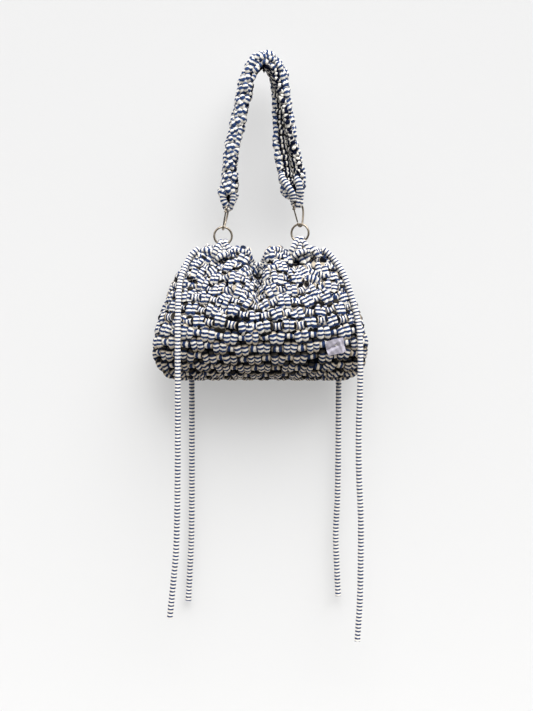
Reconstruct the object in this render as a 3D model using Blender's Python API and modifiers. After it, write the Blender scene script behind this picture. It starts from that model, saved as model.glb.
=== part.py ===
"""Crocheted drawstring bag hanging by its shoulder strap.

Metres, +Z up, +X to the wearer's right as seen from the front, +Y towards the wall behind.
The origin is where the hook holds the strap, at the top of its inner side.
"""

import math
from typing import NamedTuple

import bmesh
import bpy
from mathutils import Matrix, Vector

MM = 0.001

# Pouch
BAG_X = -8.0 * MM               # middle of the pouch, left of the hook
WALL = 8.0 * MM                 # thickness of the crocheted fabric under its stitches
LIP_RISE = 3.0 * MM             # the rounded edge of the mouth above its two faces
UNITS_ROUND = 21                # pairs of stitches round the pouch
ROWS_UP = 13                    # rows of stitches from the bottom line to the mouth
COLUMNS = UNITS_ROUND * 4       # points round: each unit is a pair, a groove, a bar, a groove
PAIR_RISE = 3.6 * MM            # a pair of upright stitches above the grooves
BAR_RISE = 1.8 * MM             # the crosswise bar beside it
INNER_ROWS = 9                  # rows of points up the inner face
SQUARENESS = 0.86               # under 1 the plan fills its corners
SIDE_SHARE = 0.6                # how far from front to back the side line runs
FOLD_REACH = 1.6                # above 1 the gathers keep their full depth nearer to the sides
FOLDS_START = 0.42              # share of the wall's height where the gathers begin
RISE_START = 0.50               # share of the wall's height where rows start to follow the mouth's edge
FINE = 720                      # samples used to space the stitches evenly round a row

# Strap
STRAP_WIDTH = 38.0 * MM
STRAP_THICK = 25.0 * MM
STRAP_STEPS = 84                # sections along the strap, two to a crosswise ridge
STRAP_SIDES = 14
STRAP_RIDGE = 0.045             # share by which every second section stands out
STRAP_CORNERS = 0.8             # under 1 the section fills its corners
CURL_DEPTH = 0.62               # the deepest hollow of the inner face, as a share of its half thickness
CURL_WIDTH = 0.5                # how wide that hollow is, as a share of half the width

# Metal
RING_RADIUS = 12.4 * MM         # to the wire's centre
RING_WIRE = 1.5 * MM            # radius
CLIP_WIRE = 1.4 * MM            # radius
GATE_WIRE = 1.05 * MM           # radius
LINK_GAP = 0.3 * MM

# Loops of cord that hold the metal
LOOP_THICK = 2.4 * MM           # half the thickness
LOOP_WIDTH = 6.4 * MM           # half the width
LOOP_ROOM = 1.2 * MM            # slack in a loop, because the wire inside it is bent
LOOP_SHIFT = 0.6 * LOOP_ROOM    # how far that slack lets a loop sit off its wire
SEAT = 0.4 * MM                 # between a loop and the strap's end
STRAP_LOOP_MAJOR = CLIP_WIRE + LINK_GAP + LOOP_ROOM + LOOP_THICK

# Drawstring
TAIL_RADIUS = 4.0 * MM
TAIL_STEPS = 30                 # points along a free end
BRIDGE_LENGTH = 15.0 * MM
BRIDGE_Z = -272.6 * MM
BRIDGE_Y = 6.0 * MM
BRIDGE_SHIFT = -4.5 * MM        # the notch's middle, left of the pouch's

# Label
LABEL_WIDTH = 28.0 * MM
LABEL_HEIGHT = 21.0 * MM
LABEL_THICK = 1.2 * MM
LABEL_GAP = 0.4 * MM
LABEL_TURN = math.radians(10.0)
LABEL_X = 96.3 * MM
LABEL_Z = -386.4 * MM


class Section(NamedTuple):
    """A level of the pouch, in millimetres, from the bottom line (share 0) to the mouth (share 1)."""

    share: float
    z: float
    half_width: float
    front: float
    back: float


SECTIONS = [
    Section(0.00, -432.0, 112.0, 2.0, 2.0),
    Section(0.07, -430.5, 124.5, -16.0, 19.0),
    Section(0.15, -424.0, 135.0, -33.0, 33.0),
    Section(0.24, -411.0, 144.5, -47.0, 42.0),
    Section(0.35, -391.0, 149.0, -56.0, 46.0),
    Section(0.46, -368.0, 146.0, -58.0, 47.0),
    Section(0.57, -345.0, 138.5, -54.0, 46.0),
    Section(0.68, -322.0, 131.0, -46.0, 44.0),
    Section(0.79, -299.0, 122.0, -35.0, 41.0),
    Section(0.88, -281.0, 112.0, -24.0, 38.0),
    Section(0.95, -265.5, 101.0, -14.0, 36.0),
    Section(1.00, -250.0, 86.0, -8.0, 34.0),
]


class Fold(NamedTuple):
    """A crest or a valley of the gathered mouth, in millimetres from the pouch's middle."""

    x: float
    out: float
    rise: float


FRONT_FOLDS = [
    Fold(-86.0, 0.0, 0.0),
    Fold(-70.0, 8.0, 4.0),
    Fold(-52.2, -4.0, -2.9),
    Fold(-29.0, 10.0, 3.0),
    Fold(-12.0, -10.0, -27.5),
    Fold(3.0, -10.0, -27.5),
    Fold(21.0, 10.0, 4.0),
    Fold(38.0, 0.0, -3.0),
    Fold(55.6, -4.0, 2.5),
    Fold(70.0, 8.0, 2.0),
    Fold(86.0, 0.0, 0.0),
]

BACK_FOLDS = [
    Fold(-86.0, 0.0, 0.0),
    Fold(-66.0, 7.0, 3.0),
    Fold(-46.0, -7.0, -2.0),
    Fold(-26.0, 8.0, 2.0),
    Fold(-4.0, -9.0, -24.0),
    Fold(20.0, 8.0, 3.0),
    Fold(42.0, -7.0, -2.0),
    Fold(64.0, 7.0, 3.0),
    Fold(86.0, 0.0, 0.0),
]


class StrapPoint(NamedTuple):
    """A place on the strap's centre line, in millimetres: its size, its hollow and its turn in degrees."""

    x: float
    y: float
    z: float
    width: float
    thick: float
    curl: float
    turn: float


STRAP_ROUTE = [
    StrapPoint(-53.0, 0.0, -172.0, 0.86, 1.12, 0.1, 0.0),
    StrapPoint(-49.5, 0.0, -156.0, 0.88, 1.00, 0.2, 0.0),
    StrapPoint(-49.3, 0.0, -136.0, 0.95, 0.95, 0.5, 0.0),
    StrapPoint(-45.5, 0.0, -110.0, 1.00, 0.98, 0.6, 0.0),
    StrapPoint(-39.5, 0.0, -80.0, 1.00, 1.00, 0.6, 0.0),
    StrapPoint(-32.5, 0.0, -48.0, 1.00, 1.00, 0.5, 0.0),
    StrapPoint(-25.5, 0.0, -18.0, 1.00, 1.02, 0.3, 0.0),
    StrapPoint(-17.0, 0.0, 2.5, 1.00, 1.06, 0.05, 0.0),
    StrapPoint(-2.0, 0.0, 13.5, 1.00, 1.08, 0.0, 0.0),
    StrapPoint(12.0, 0.0, 3.5, 1.00, 1.06, 0.05, -6.0),
    StrapPoint(18.0, 0.0, -18.0, 1.00, 1.04, 0.4, -14.0),
    StrapPoint(21.5, 0.0, -48.0, 1.00, 1.00, 0.8, -26.0),
    StrapPoint(25.0, 0.0, -80.0, 1.00, 1.00, 1.0, -42.0),
    StrapPoint(28.5, 0.0, -108.0, 1.00, 1.00, 1.0, -58.0),
    StrapPoint(33.5, 0.0, -134.0, 1.02, 1.00, 1.0, -72.0),
    StrapPoint(37.0, 0.0, -156.0, 0.98, 1.00, 0.7, -74.0),
    StrapPoint(38.5, 0.0, -170.0, 0.86, 0.95, 0.2, -72.0),
]

# Width, thickness, hollow and turn where the strap ends over each loop.
STRAP_END_SIZES = {
    "left": (0.62, 0.82, 0.0, 0.0),
    "right": (0.58, 0.80, 0.0, -70.0),
}


class Clip(NamedTuple):
    """How a snap hook hangs: the ring it carries, its lean and its turn about its own length."""

    side: str
    ring_x: float
    ring_z: float
    ring_turn: float
    lean: float
    turn: float


CLIPS = [
    Clip("left", -60.2 * MM, -232.4 * MM, math.radians(6.0), math.radians(12.0), math.radians(82.0)),
    Clip("right", 47.6 * MM, -228.2 * MM, math.radians(-16.0), math.radians(-6.0), math.radians(44.0)),
]

# A snap hook's wire in its own plane, millimetres from the lowest point of the wire's centre.
CLIP_ROUTE = [
    (-8.6, 26.0),
    (-8.9, 28.5),
    (-7.9, 31.3),
    (-5.0, 33.6),
    (-1.0, 34.3),
    (3.4, 33.6),
    (7.0, 31.0),
    (9.2, 26.4),
    (9.4, 20.8),
    (8.3, 14.6),
    (6.6, 8.6),
    (5.0, 3.6),
    (3.0, 0.8),
    (0.4, 0.0),
    (-2.2, 0.8),
    (-3.8, 3.0),
    (-4.0, 5.0),
]
CLIP_CREST = (-1.0, 34.3)       # the highest point of the wire, where the strap's loop sits
GATE_TOP = (-8.45, 24.6)        # the gate's pivot
GATE_FOOT = (-4.1, 6.5)         # the middle of its rounded free end

# The drawstring's four free ends, from where each leaves the mouth to its cut end, in millimetres.
TAIL_ROUTES = {
    "left_front": [
        (-94.6, -3.7, -251.0),
        (-100.0, -7.2, -255.3),
        (-106.0, -9.7, -263.0),
        (-112.0, -15.2, -276.0),
        (-118.0, -25.7, -294.0),
        (-120.2, -33.7, -312.0),
        (-120.6, -40.7, -332.0),
        (-120.9, -45.7, -355.0),
        (-120.9, -47.7, -380.0),
        (-120.9, -48.1, -410.0),
        (-120.8, -48.1, -450.0),
        (-120.8, -47.9, -500.0),
        (-121.0, -47.7, -560.0),
        (-121.8, -47.2, -620.0),
        (-123.4, -46.7, -670.0),
        (-127.5, -45.7, -715.0),
        (-132.0, -44.7, -760.0),
    ],
    "left_back": [
        (-93.6, 30.4, -251.0),
        (-98.0, 34.0, -256.0),
        (-102.0, 37.0, -264.0),
        (-106.0, 40.4, -278.0),
        (-108.4, 43.8, -300.0),
        (-108.9, 45.4, -325.0),
        (-108.0, 46.2, -355.0),
        (-107.0, 46.4, -385.0),
        (-106.3, 46.6, -430.0),
        (-106.0, 46.8, -480.0),
        (-106.0, 47.0, -540.0),
        (-106.0, 47.2, -600.0),
        (-106.8, 47.4, -660.0),
        (-109.0, 47.4, -710.0),
        (-111.0, 47.4, -750.0),
    ],
    "right_front": [
        (78.6, -0.1, -251.0),
        (85.0, -0.9, -255.3),
        (93.0, -2.7, -263.0),
        (101.0, -7.1, -274.0),
        (109.0, -12.5, -289.0),
        (114.9, -18.1, -306.0),
        (120.4, -22.5, -324.0),
        (125.5, -26.7, -344.0),
        (129.0, -30.9, -364.0),
        (130.0, -33.3, -385.0),
        (130.2, -33.7, -410.0),
        (129.5, -33.7, -450.0),
        (127.8, -33.7, -500.0),
        (128.0, -33.7, -560.0),
        (130.5, -33.3, -620.0),
        (130.5, -32.9, -680.0),
        (129.5, -32.3, -735.0),
        (126.0, -31.7, -794.0),
    ],
    "right_back": [
        (78.2, 27.0, -251.0),
        (82.6, 30.5, -256.0),
        (88.6, 31.9, -264.0),
        (94.6, 34.9, -278.0),
        (99.6, 37.7, -298.0),
        (102.4, 40.5, -325.0),
        (103.6, 41.5, -355.0),
        (104.0, 41.9, -385.0),
        (103.6, 42.3, -430.0),
        (103.4, 42.7, -480.0),
        (103.0, 43.1, -540.0),
        (102.0, 43.5, -600.0),
        (99.5, 43.9, -655.0),
        (101.0, 44.1, -700.0),
        (103.0, 44.3, -743.0),
    ],
}


# ---------------------------------------------------------------- general helpers


def clear_scene():
    """Start from a scene with no objects in it."""
    for found in list(bpy.data.objects):
        bpy.data.objects.remove(found, do_unlink=True)


def collection_named(name):
    made = bpy.data.collections.new(name)
    bpy.context.scene.collection.children.link(made)
    return made


def finish_of(name, colour, roughness, metallic=0.0):
    """A plain finish: sRGB-like linear colour, roughness and metallic value."""
    made = bpy.data.materials.new(name)
    made.use_nodes = True
    shader = made.node_tree.nodes["Principled BSDF"]
    shader.inputs["Base Color"].default_value = (*colour, 1.0)
    shader.inputs["Roughness"].default_value = roughness
    shader.inputs["Metallic"].default_value = metallic
    return made


def object_from(name, bm, parts, finish, smooth_angle=None):
    """Turn a bmesh into a named object with its finish, in the given collection."""
    bmesh.ops.recalc_face_normals(bm, faces=bm.faces)
    mesh = bpy.data.meshes.new(name)
    bm.to_mesh(mesh)
    bm.free()
    mesh.materials.append(finish)
    if smooth_angle is not None:
        mesh.shade_smooth()
        mesh.set_sharp_from_angle(angle=smooth_angle)
    made = bpy.data.objects.new(name, mesh)
    parts.objects.link(made)
    return made


def smooth_step(low, high, at):
    """0 below low, 1 above high, and an even rise between."""
    share = min(1.0, max(0.0, (at - low) / (high - low)))
    return share * share * (3.0 - 2.0 * share)


def through(knots, at):
    """Read a smooth curve that passes through (place, value) knots at one place."""
    if at <= knots[0][0]:
        return knots[0][1]
    if at >= knots[-1][0]:
        return knots[-1][1]
    index = 0
    while knots[index + 1][0] < at:
        index += 1
    slopes = []
    for here in (index, index + 1):
        before = max(0, here - 1)
        after = min(len(knots) - 1, here + 1)
        slopes.append((knots[after][1] - knots[before][1]) / (knots[after][0] - knots[before][0]))
    span = knots[index + 1][0] - knots[index][0]
    s = (at - knots[index][0]) / span
    return (
        (2 * s**3 - 3 * s**2 + 1) * knots[index][1]
        + (s**3 - 2 * s**2 + s) * span * slopes[0]
        + (3 * s**2 - 2 * s**3) * knots[index + 1][1]
        + (s**3 - s**2) * span * slopes[1]
    )


def smooth_route(points, steps):
    """Points evenly spaced along a smooth curve through the given points."""
    run = [0.0]
    for before, after in zip(points, points[1:]):
        run.append(run[-1] + (Vector(after) - Vector(before)).length)
    tables = [[(run[i], p[axis]) for i, p in enumerate(points)] for axis in range(3)]
    places = [run[-1] * step / (steps - 1) for step in range(steps)]
    return [Vector([through(table, place) for table in tables]) for place in places]


def tube(name, points, radius, parts, finish, cyclic=False, sides_step=2):
    """A round bar or cord along the points, with closed ends."""
    curve = bpy.data.curves.new(name, "CURVE")
    curve.dimensions = "3D"
    curve.bevel_depth = radius
    curve.bevel_resolution = sides_step
    curve.resolution_u = 1
    curve.render_resolution_u = 0
    curve.use_fill_caps = not cyclic
    spline = curve.splines.new("POLY")
    spline.points.add(len(points) - 1)
    for spline_point, place in zip(spline.points, points):
        spline_point.co = (*place, 1.0)
    spline.use_cyclic_u = cyclic
    curve.materials.append(finish)
    made = bpy.data.objects.new(name, curve)
    parts.objects.link(made)
    return made


# ---------------------------------------------------------------- pouch


def level(share):
    """The pouch's height, half width, front and back at a share of the way up its wall."""
    named = ("z", "half_width", "front", "back")
    values = [through([(row.share, getattr(row, name)) for row in SECTIONS], share) * MM for name in named]
    return values


def fold_at(folds, x):
    """How far the mouth stands out and rises at a place along it, easing from fold to fold."""
    if x <= folds[0].x or x >= folds[-1].x:
        return 0.0, 0.0
    index = 0
    while folds[index + 1].x < x:
        index += 1
    a, b = folds[index], folds[index + 1]
    ease = 0.5 - 0.5 * math.cos(math.pi * (x - a.x) / (b.x - a.x))
    return (a.out + (b.out - a.out) * ease) * MM, (a.rise + (b.rise - a.rise) * ease) * MM


def pouch_base(angle, share):
    """A point of the plain pouch, with no gathers. Angle 0 is the middle of the front."""
    z, half_width, front, back = level(share)
    side = front + SIDE_SHARE * (back - front)
    across = math.sin(angle)
    facing = math.cos(angle)
    x = BAG_X + half_width * math.copysign(abs(across) ** SQUARENESS, across)
    reach = front if facing > 0.0 else back
    y = side + (reach - side) * abs(facing) ** SQUARENESS
    return Vector((x, y, z))


def pouch_point(angle, share):
    """A point of the pouch's outer face, with the gathers of its mouth."""
    place = pouch_base(angle, share)
    half_width = level(share)[1]
    facing = math.cos(angle)
    folds = FRONT_FOLDS if facing > 0.0 else BACK_FOLDS
    at_mouth = (place.x - BAG_X) / half_width * FRONT_FOLDS[-1].x
    out, rise = fold_at(folds, at_mouth)
    depth = smooth_step(FOLDS_START, 1.0, share) * min(1.0, FOLD_REACH * abs(facing))
    place.y -= math.copysign(out, out) * depth * (1.0 if facing > 0.0 else -1.0)
    place.z += rise * smooth_step(RISE_START, 1.0, share)
    return place


def pouch_outward(angle, share):
    """The direction that the plain pouch faces at a point."""
    turn = 0.01
    lift = 0.004
    low = max(0.0, share - lift)
    high = min(1.0, share + lift)
    along = pouch_base(angle + turn, max(share, 0.02)) - pouch_base(angle - turn, max(share, 0.02))
    up = pouch_base(angle, high) - pouch_base(angle, low)
    return along.cross(up).normalized()


def even_angles(share, count):
    """Angles that space a row's points evenly along the gathered fabric."""
    angles = [2.0 * math.pi * i / FINE for i in range(FINE + 1)]
    places = [pouch_point(angle, share) for angle in angles]
    run = [0.0]
    for before, after in zip(places, places[1:]):
        run.append(run[-1] + (after - before).length)
    found = []
    index = 0
    for step in range(count):
        goal = run[-1] * step / count
        while run[index + 1] < goal:
            index += 1
        part = (goal - run[index]) / (run[index + 1] - run[index])
        found.append(angles[index] + part * (angles[index + 1] - angles[index]))
    return found


def stitch_rise(column, row):
    """How far a point of the outer face stands out: pairs and bars, shifted half a unit row by row."""
    if row % 2 == 0:
        return 0.0
    stitch_row = row // 2
    place = (column + 2 * (stitch_row % 2)) % 4
    return {0: 0.0, 1: PAIR_RISE, 2: 0.0, 3: BAR_RISE}[place]


def close_bottom(bm, ring):
    """Close a ring of points across the pouch, front to back."""
    half = len(ring) // 2
    for step in range(half):
        a, b = ring[step], ring[step + 1]
        c, d = ring[(len(ring) - step - 1) % len(ring)], ring[(len(ring) - step) % len(ring)]
        corners = [a, b, c, d]
        unique = [v for i, v in enumerate(corners) if v not in corners[:i]]
        if len(unique) >= 3:
            bm.faces.new(unique)


def make_pouch(parts, finish):
    """The crocheted pouch: an outer face with its stitches, a rounded lip and an inner face."""
    bm = bmesh.new()
    rows = []
    outer_rows = ROWS_UP * 2
    for row in range(1, outer_rows + 1):
        share = row / outer_rows
        line = []
        for column, angle in enumerate(even_angles(share, COLUMNS)):
            place = pouch_point(angle, share)
            if row == outer_rows:
                place.z -= LIP_RISE
            else:
                place += pouch_outward(angle, share) * stitch_rise(column, row)
            line.append(bm.verts.new(place))
        rows.append(line)
    lip = []
    inner_top = []
    for angle in even_angles(1.0, COLUMNS):
        place = pouch_point(angle, 1.0)
        inward = pouch_outward(angle, 1.0) * -1.0
        inward.z = 0.0
        inward.normalize()
        lip.append(bm.verts.new(place + inward * WALL * 0.5))
        inner_top.append(bm.verts.new(place + inward * WALL - Vector((0.0, 0.0, LIP_RISE))))
    rows.append(lip)
    rows.append(inner_top)
    for row in range(INNER_ROWS - 1, 0, -1):
        share = row / INNER_ROWS
        line = []
        for angle in even_angles(share, COLUMNS):
            line.append(bm.verts.new(pouch_point(angle, share) - pouch_outward(angle, share) * WALL))
        rows.append(line)
    for low, high in zip(rows, rows[1:]):
        for column in range(COLUMNS):
            beside = (column + 1) % COLUMNS
            bm.faces.new((low[column], low[beside], high[beside], high[column]))
    close_bottom(bm, rows[0])
    close_bottom(bm, rows[-1])
    bmesh.ops.triangulate(bm, faces=bm.faces)
    return object_from("bag_body", bm, parts, finish, smooth_angle=math.radians(60.0))


# ---------------------------------------------------------------- strap


def strap_section(centre, along, point, out):
    """The points of one section of the strap: rounded, with a hollow in the face that it curls to."""
    flat = Vector((0.0, 1.0, 0.0))
    inward = flat.cross(along).normalized()
    turned = Matrix.Rotation(math.radians(point.turn), 3, along)
    width_way = turned @ flat
    thick_way = turned @ inward
    half_width = STRAP_WIDTH * 0.5 * point.width * out
    half_thick = STRAP_THICK * 0.5 * point.thick * out
    places = []
    for side in range(STRAP_SIDES):
        angle = 2.0 * math.pi * side / STRAP_SIDES
        across = math.copysign(abs(math.sin(angle)) ** STRAP_CORNERS, math.sin(angle))
        through_it = math.copysign(abs(math.cos(angle)) ** STRAP_CORNERS, math.cos(angle))
        if through_it > 0.0:
            through_it -= CURL_DEPTH * point.curl * math.exp(-((across / CURL_WIDTH) ** 2))
        places.append(centre + width_way * half_width * across + thick_way * half_thick * through_it)
    return places


def make_strap(parts, finish):
    """The shoulder band, lofted along its route from one end to the other."""
    ends = [StrapPoint(*(strap_end(clip) / MM), *STRAP_END_SIZES[clip.side]) for clip in CLIPS]
    stations = [ends[0], *STRAP_ROUTE, ends[1]]
    route = [(p.x * MM, p.y * MM, p.z * MM) for p in stations]
    run = [0.0]
    for before, after in zip(route, route[1:]):
        run.append(run[-1] + (Vector(after) - Vector(before)).length)
    centres = smooth_route(route, STRAP_STEPS)
    bm = bmesh.new()
    rings = []
    for step, centre in enumerate(centres):
        place = run[-1] * step / (STRAP_STEPS - 1)
        named = {}
        for name in ("width", "thick", "curl", "turn"):
            knots = [(run[i], getattr(p, name)) for i, p in enumerate(stations)]
            named[name] = through(knots, place)
        point = StrapPoint(*centre, **named)
        before = centres[max(0, step - 1)]
        after = centres[min(STRAP_STEPS - 1, step + 1)]
        out = 1.0 + STRAP_RIDGE * (1 if step % 2 else -1)
        section = strap_section(centre, (after - before).normalized(), point, out)
        if step in (0, STRAP_STEPS - 1):
            for corner in section:
                corner.z = centre.z
        rings.append([bm.verts.new(corner) for corner in section])
    for low, high in zip(rings, rings[1:]):
        for side in range(STRAP_SIDES):
            beside = (side + 1) % STRAP_SIDES
            bm.faces.new((low[side], low[beside], high[beside], high[side]))
    bm.faces.new(rings[0])
    bm.faces.new(rings[-1])
    bmesh.ops.triangulate(bm, faces=bm.faces)
    return object_from("strap", bm, parts, finish, smooth_angle=math.radians(70.0))


# ---------------------------------------------------------------- metal and its loops


def clip_frame_matrix(clip):
    """Where a snap hook's own plane lies: x across it, z up it, from the wire's lowest point."""
    foot = Vector((clip.ring_x, 0.0, clip.ring_z + RING_RADIUS - RING_WIRE - CLIP_WIRE - LINK_GAP))
    lean = Matrix.Rotation(clip.lean, 4, "Y")
    turn = Matrix.Rotation(clip.turn, 4, "Z")
    return Matrix.Translation(foot) @ lean @ turn


def make_clip(clip, parts, finish):
    """A snap hook: the bent wire and, on its pivot, the gate."""
    placed = clip_frame_matrix(clip)
    route = [(x * MM, 0.0, z * MM) for x, z in CLIP_ROUTE]
    points = [placed @ place for place in smooth_route(route, 30)]
    tube(f"clip_frame_{clip.side}", points, CLIP_WIRE, parts, finish)

    top = Vector((GATE_TOP[0] * MM, 0.0, GATE_TOP[1] * MM))
    foot = Vector((GATE_FOOT[0] * MM, 0.0, GATE_FOOT[1] * MM))
    pivot = bpy.data.objects.new(f"gate_pivot_{clip.side}", None)
    pivot.matrix_world = placed @ Matrix.Translation(top)
    parts.objects.link(pivot)
    gate = make_gate(f"clip_gate_{clip.side}", (foot - top).length, parts, finish)
    gate.parent = pivot
    down = (foot - top).normalized()
    gate.matrix_parent_inverse = Matrix.Identity(4)
    gate.matrix_basis = down.to_track_quat("-Z", "X").to_matrix().to_4x4()


def make_gate(name, length, parts, finish):
    """The gate: a rod with rounded ends, turned about its length, hanging from its pivot at z 0."""
    ends = 4
    bm = bmesh.new()
    profile = []
    for step in range(ends + 1):
        angle = math.pi / 2.0 * step / ends
        profile.append((GATE_WIRE * math.sin(angle), GATE_WIRE * math.cos(angle)))
    for step in range(ends + 1):
        angle = math.pi / 2.0 * step / ends
        profile.append((GATE_WIRE * math.cos(angle), -length - GATE_WIRE * math.sin(angle)))
    points = [bm.verts.new((x, 0.0, z)) for x, z in profile]
    for a, b in zip(points, points[1:]):
        bm.edges.new((a, b))
    mesh = bpy.data.meshes.new(name)
    bm.to_mesh(mesh)
    bm.free()
    mesh.materials.append(finish)
    made = bpy.data.objects.new(name, mesh)
    parts.objects.link(made)
    turned = made.modifiers.new("turned", "SCREW")
    turned.axis = "Z"
    turned.angle = 2.0 * math.pi
    turned.steps = 10
    turned.render_steps = 10
    turned.use_merge_vertices = True
    turned.merge_threshold = 0.00001
    return made


def wire_torus(name, placed, major, minor, width, parts, finish, major_segments, minor_segments):
    """A ring about the local z axis, its section widened along that axis to the given half width."""
    bm = bmesh.new()
    rings = []
    for i in range(major_segments):
        around = 2.0 * math.pi * i / major_segments
        ring = []
        for j in range(minor_segments):
            tilt = 2.0 * math.pi * j / minor_segments
            reach = major + minor * math.cos(tilt)
            place = Vector((reach * math.cos(around), reach * math.sin(around), width * math.sin(tilt)))
            ring.append(bm.verts.new(placed @ place))
        rings.append(ring)
    for i, ring in enumerate(rings):
        after = rings[(i + 1) % major_segments]
        for j in range(minor_segments):
            k = (j + 1) % minor_segments
            bm.faces.new((ring[j], after[j], after[k], ring[k]))
    return object_from(name, bm, parts, finish, smooth_angle=math.radians(80.0))


def make_ring(clip, parts, finish):
    """The metal ring between a snap hook and the pouch, facing the front."""
    centre = Matrix.Translation((clip.ring_x, 0.0, clip.ring_z))
    facing = Matrix.Rotation(clip.ring_turn, 4, "Z") @ Matrix.Rotation(math.pi / 2.0, 4, "X")
    wire_torus(f"ring_{clip.side}", centre @ facing, RING_RADIUS, RING_WIRE, RING_WIRE, parts, finish, 28, 8)


def make_ring_tab(clip, parts, finish):
    """The loop of cord on the mouth's edge that goes through the ring, round the ring's lowest wire."""
    centre = Matrix.Translation((clip.ring_x, 0.0, clip.ring_z - RING_RADIUS + LOOP_SHIFT))
    along_wire = Matrix.Rotation(clip.ring_turn, 4, "Z") @ Matrix.Rotation(math.pi / 2.0, 4, "Y")
    major = RING_WIRE + LINK_GAP + LOOP_ROOM + LOOP_THICK
    name = f"ring_tab_{clip.side}"
    wire_torus(name, centre @ along_wire, major, LOOP_THICK, LOOP_WIDTH, parts, finish, 16, 8)


def strap_loop_centre(clip):
    """The middle of the loop at the strap's end, a little under the wire's crest."""
    crest = clip_frame_matrix(clip) @ Vector((CLIP_CREST[0] * MM, 0.0, CLIP_CREST[1] * MM))
    return crest - Vector((0.0, 0.0, LOOP_SHIFT))


def strap_end(clip):
    """The centre of the strap's flat end face, seated over its loop."""
    return strap_loop_centre(clip) + Vector((0.0, 0.0, STRAP_LOOP_MAJOR + LOOP_THICK + SEAT))


def make_strap_loop(clip, parts, finish):
    """The loop of cord at the strap's end, round the top of the snap hook's wire."""
    hanging = clip_frame_matrix(clip).to_3x3().to_4x4()
    along_wire = hanging @ Matrix.Rotation(math.pi / 2.0, 4, "Y")
    name = f"strap_loop_{clip.side}"
    centre = Matrix.Translation(strap_loop_centre(clip))
    major = STRAP_LOOP_MAJOR
    wire_torus(name, centre @ along_wire, major, LOOP_THICK, LOOP_WIDTH, parts, finish, 16, 8)


# ---------------------------------------------------------------- drawstring and label


def make_tail(side, parts, finish):
    """A free end of the drawstring, hanging from the mouth's edge."""
    route = [tuple(value * MM for value in place) for place in TAIL_ROUTES[side]]
    tube(f"tail_{side}", smooth_route(route, TAIL_STEPS), TAIL_RADIUS, parts, finish)


def make_bridge(parts, finish):
    """The stretch of drawstring that crosses the notch of the mouth."""
    middle = BAG_X + BRIDGE_SHIFT
    half = BRIDGE_LENGTH / 2.0
    ends = [Vector((middle - half, BRIDGE_Y, BRIDGE_Z)), Vector((middle + half, BRIDGE_Y, BRIDGE_Z))]
    tube("drawstring_bridge", ends, TAIL_RADIUS, parts, finish)


def pouch_front_at(x, z):
    """The angle and share of the front point with the given x and z, found by halving."""
    low, high = 0.2, 0.95
    angle = 0.0
    for _ in range(40):
        share = 0.5 * (low + high)
        half_width = level(share)[1]
        across = min(0.999, max(-0.999, (x - BAG_X) / half_width))
        angle = math.asin(math.copysign(abs(across) ** (1.0 / SQUARENESS), across))
        if pouch_point(angle, share).z < z:
            low = share
        else:
            high = share
    return angle, share


def make_label(parts, finish):
    """The small cloth label, lying over the stitches of the front."""
    columns, rows = 5, 4
    bm = bmesh.new()
    grid = []
    for row in range(rows + 1):
        line = []
        for column in range(columns + 1):
            along = (column / columns - 0.5) * LABEL_WIDTH
            up = (row / rows - 0.5) * LABEL_HEIGHT
            x = LABEL_X + along * math.cos(LABEL_TURN) - up * math.sin(LABEL_TURN)
            z = LABEL_Z + along * math.sin(LABEL_TURN) + up * math.cos(LABEL_TURN)
            angle, share = pouch_front_at(x, z)
            over = PAIR_RISE + LABEL_GAP
            line.append(bm.verts.new(pouch_point(angle, share) + pouch_outward(angle, share) * over))
        grid.append(line)
    for low, high in zip(grid, grid[1:]):
        for column in range(columns):
            bm.faces.new((low[column], low[column + 1], high[column + 1], high[column]))
    mesh = bpy.data.meshes.new("label")
    bm.to_mesh(mesh)
    bm.free()
    mesh.materials.append(finish)
    made = bpy.data.objects.new("label", mesh)
    parts.objects.link(made)
    cloth = made.modifiers.new("cloth", "SOLIDIFY")
    cloth.thickness = LABEL_THICK
    cloth.offset = 1.0
    return made


def main():
    clear_scene()
    parts = collection_named("crochet_bag")
    crochet = finish_of("striped_cotton_crochet", (0.42, 0.44, 0.50), 0.90)
    cord = finish_of("striped_cotton_cord", (0.45, 0.47, 0.52), 0.88)
    nickel = finish_of("brushed_nickel_wire", (0.62, 0.58, 0.52), 0.30, metallic=1.0)
    satin = finish_of("satin_label", (0.62, 0.60, 0.68), 0.55)

    make_pouch(parts, crochet)
    make_strap(parts, crochet)
    for clip in CLIPS:
        make_clip(clip, parts, nickel)
        make_ring(clip, parts, nickel)
        make_ring_tab(clip, parts, cord)
        make_strap_loop(clip, parts, cord)
    for side in TAIL_ROUTES:
        make_tail(side, parts, cord)
    make_bridge(parts, cord)
    make_label(parts, satin)


main()
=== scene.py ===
"""Crocheted drawstring bag hanging by its shoulder strap: the looks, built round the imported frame.

Metres, +Z up, +X to the right as seen from the front, +Y towards the wall behind. The origin is where the
hook holds the strap. Every piece rides on one of the frame's bodies. A piece that is settled with a node's
name stands for that plain solid.
"""

import logging
import math
from dataclasses import dataclass, field
from enum import Enum

import bmesh
import bpy
import numpy as np
from mathutils import Matrix, Vector


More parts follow.
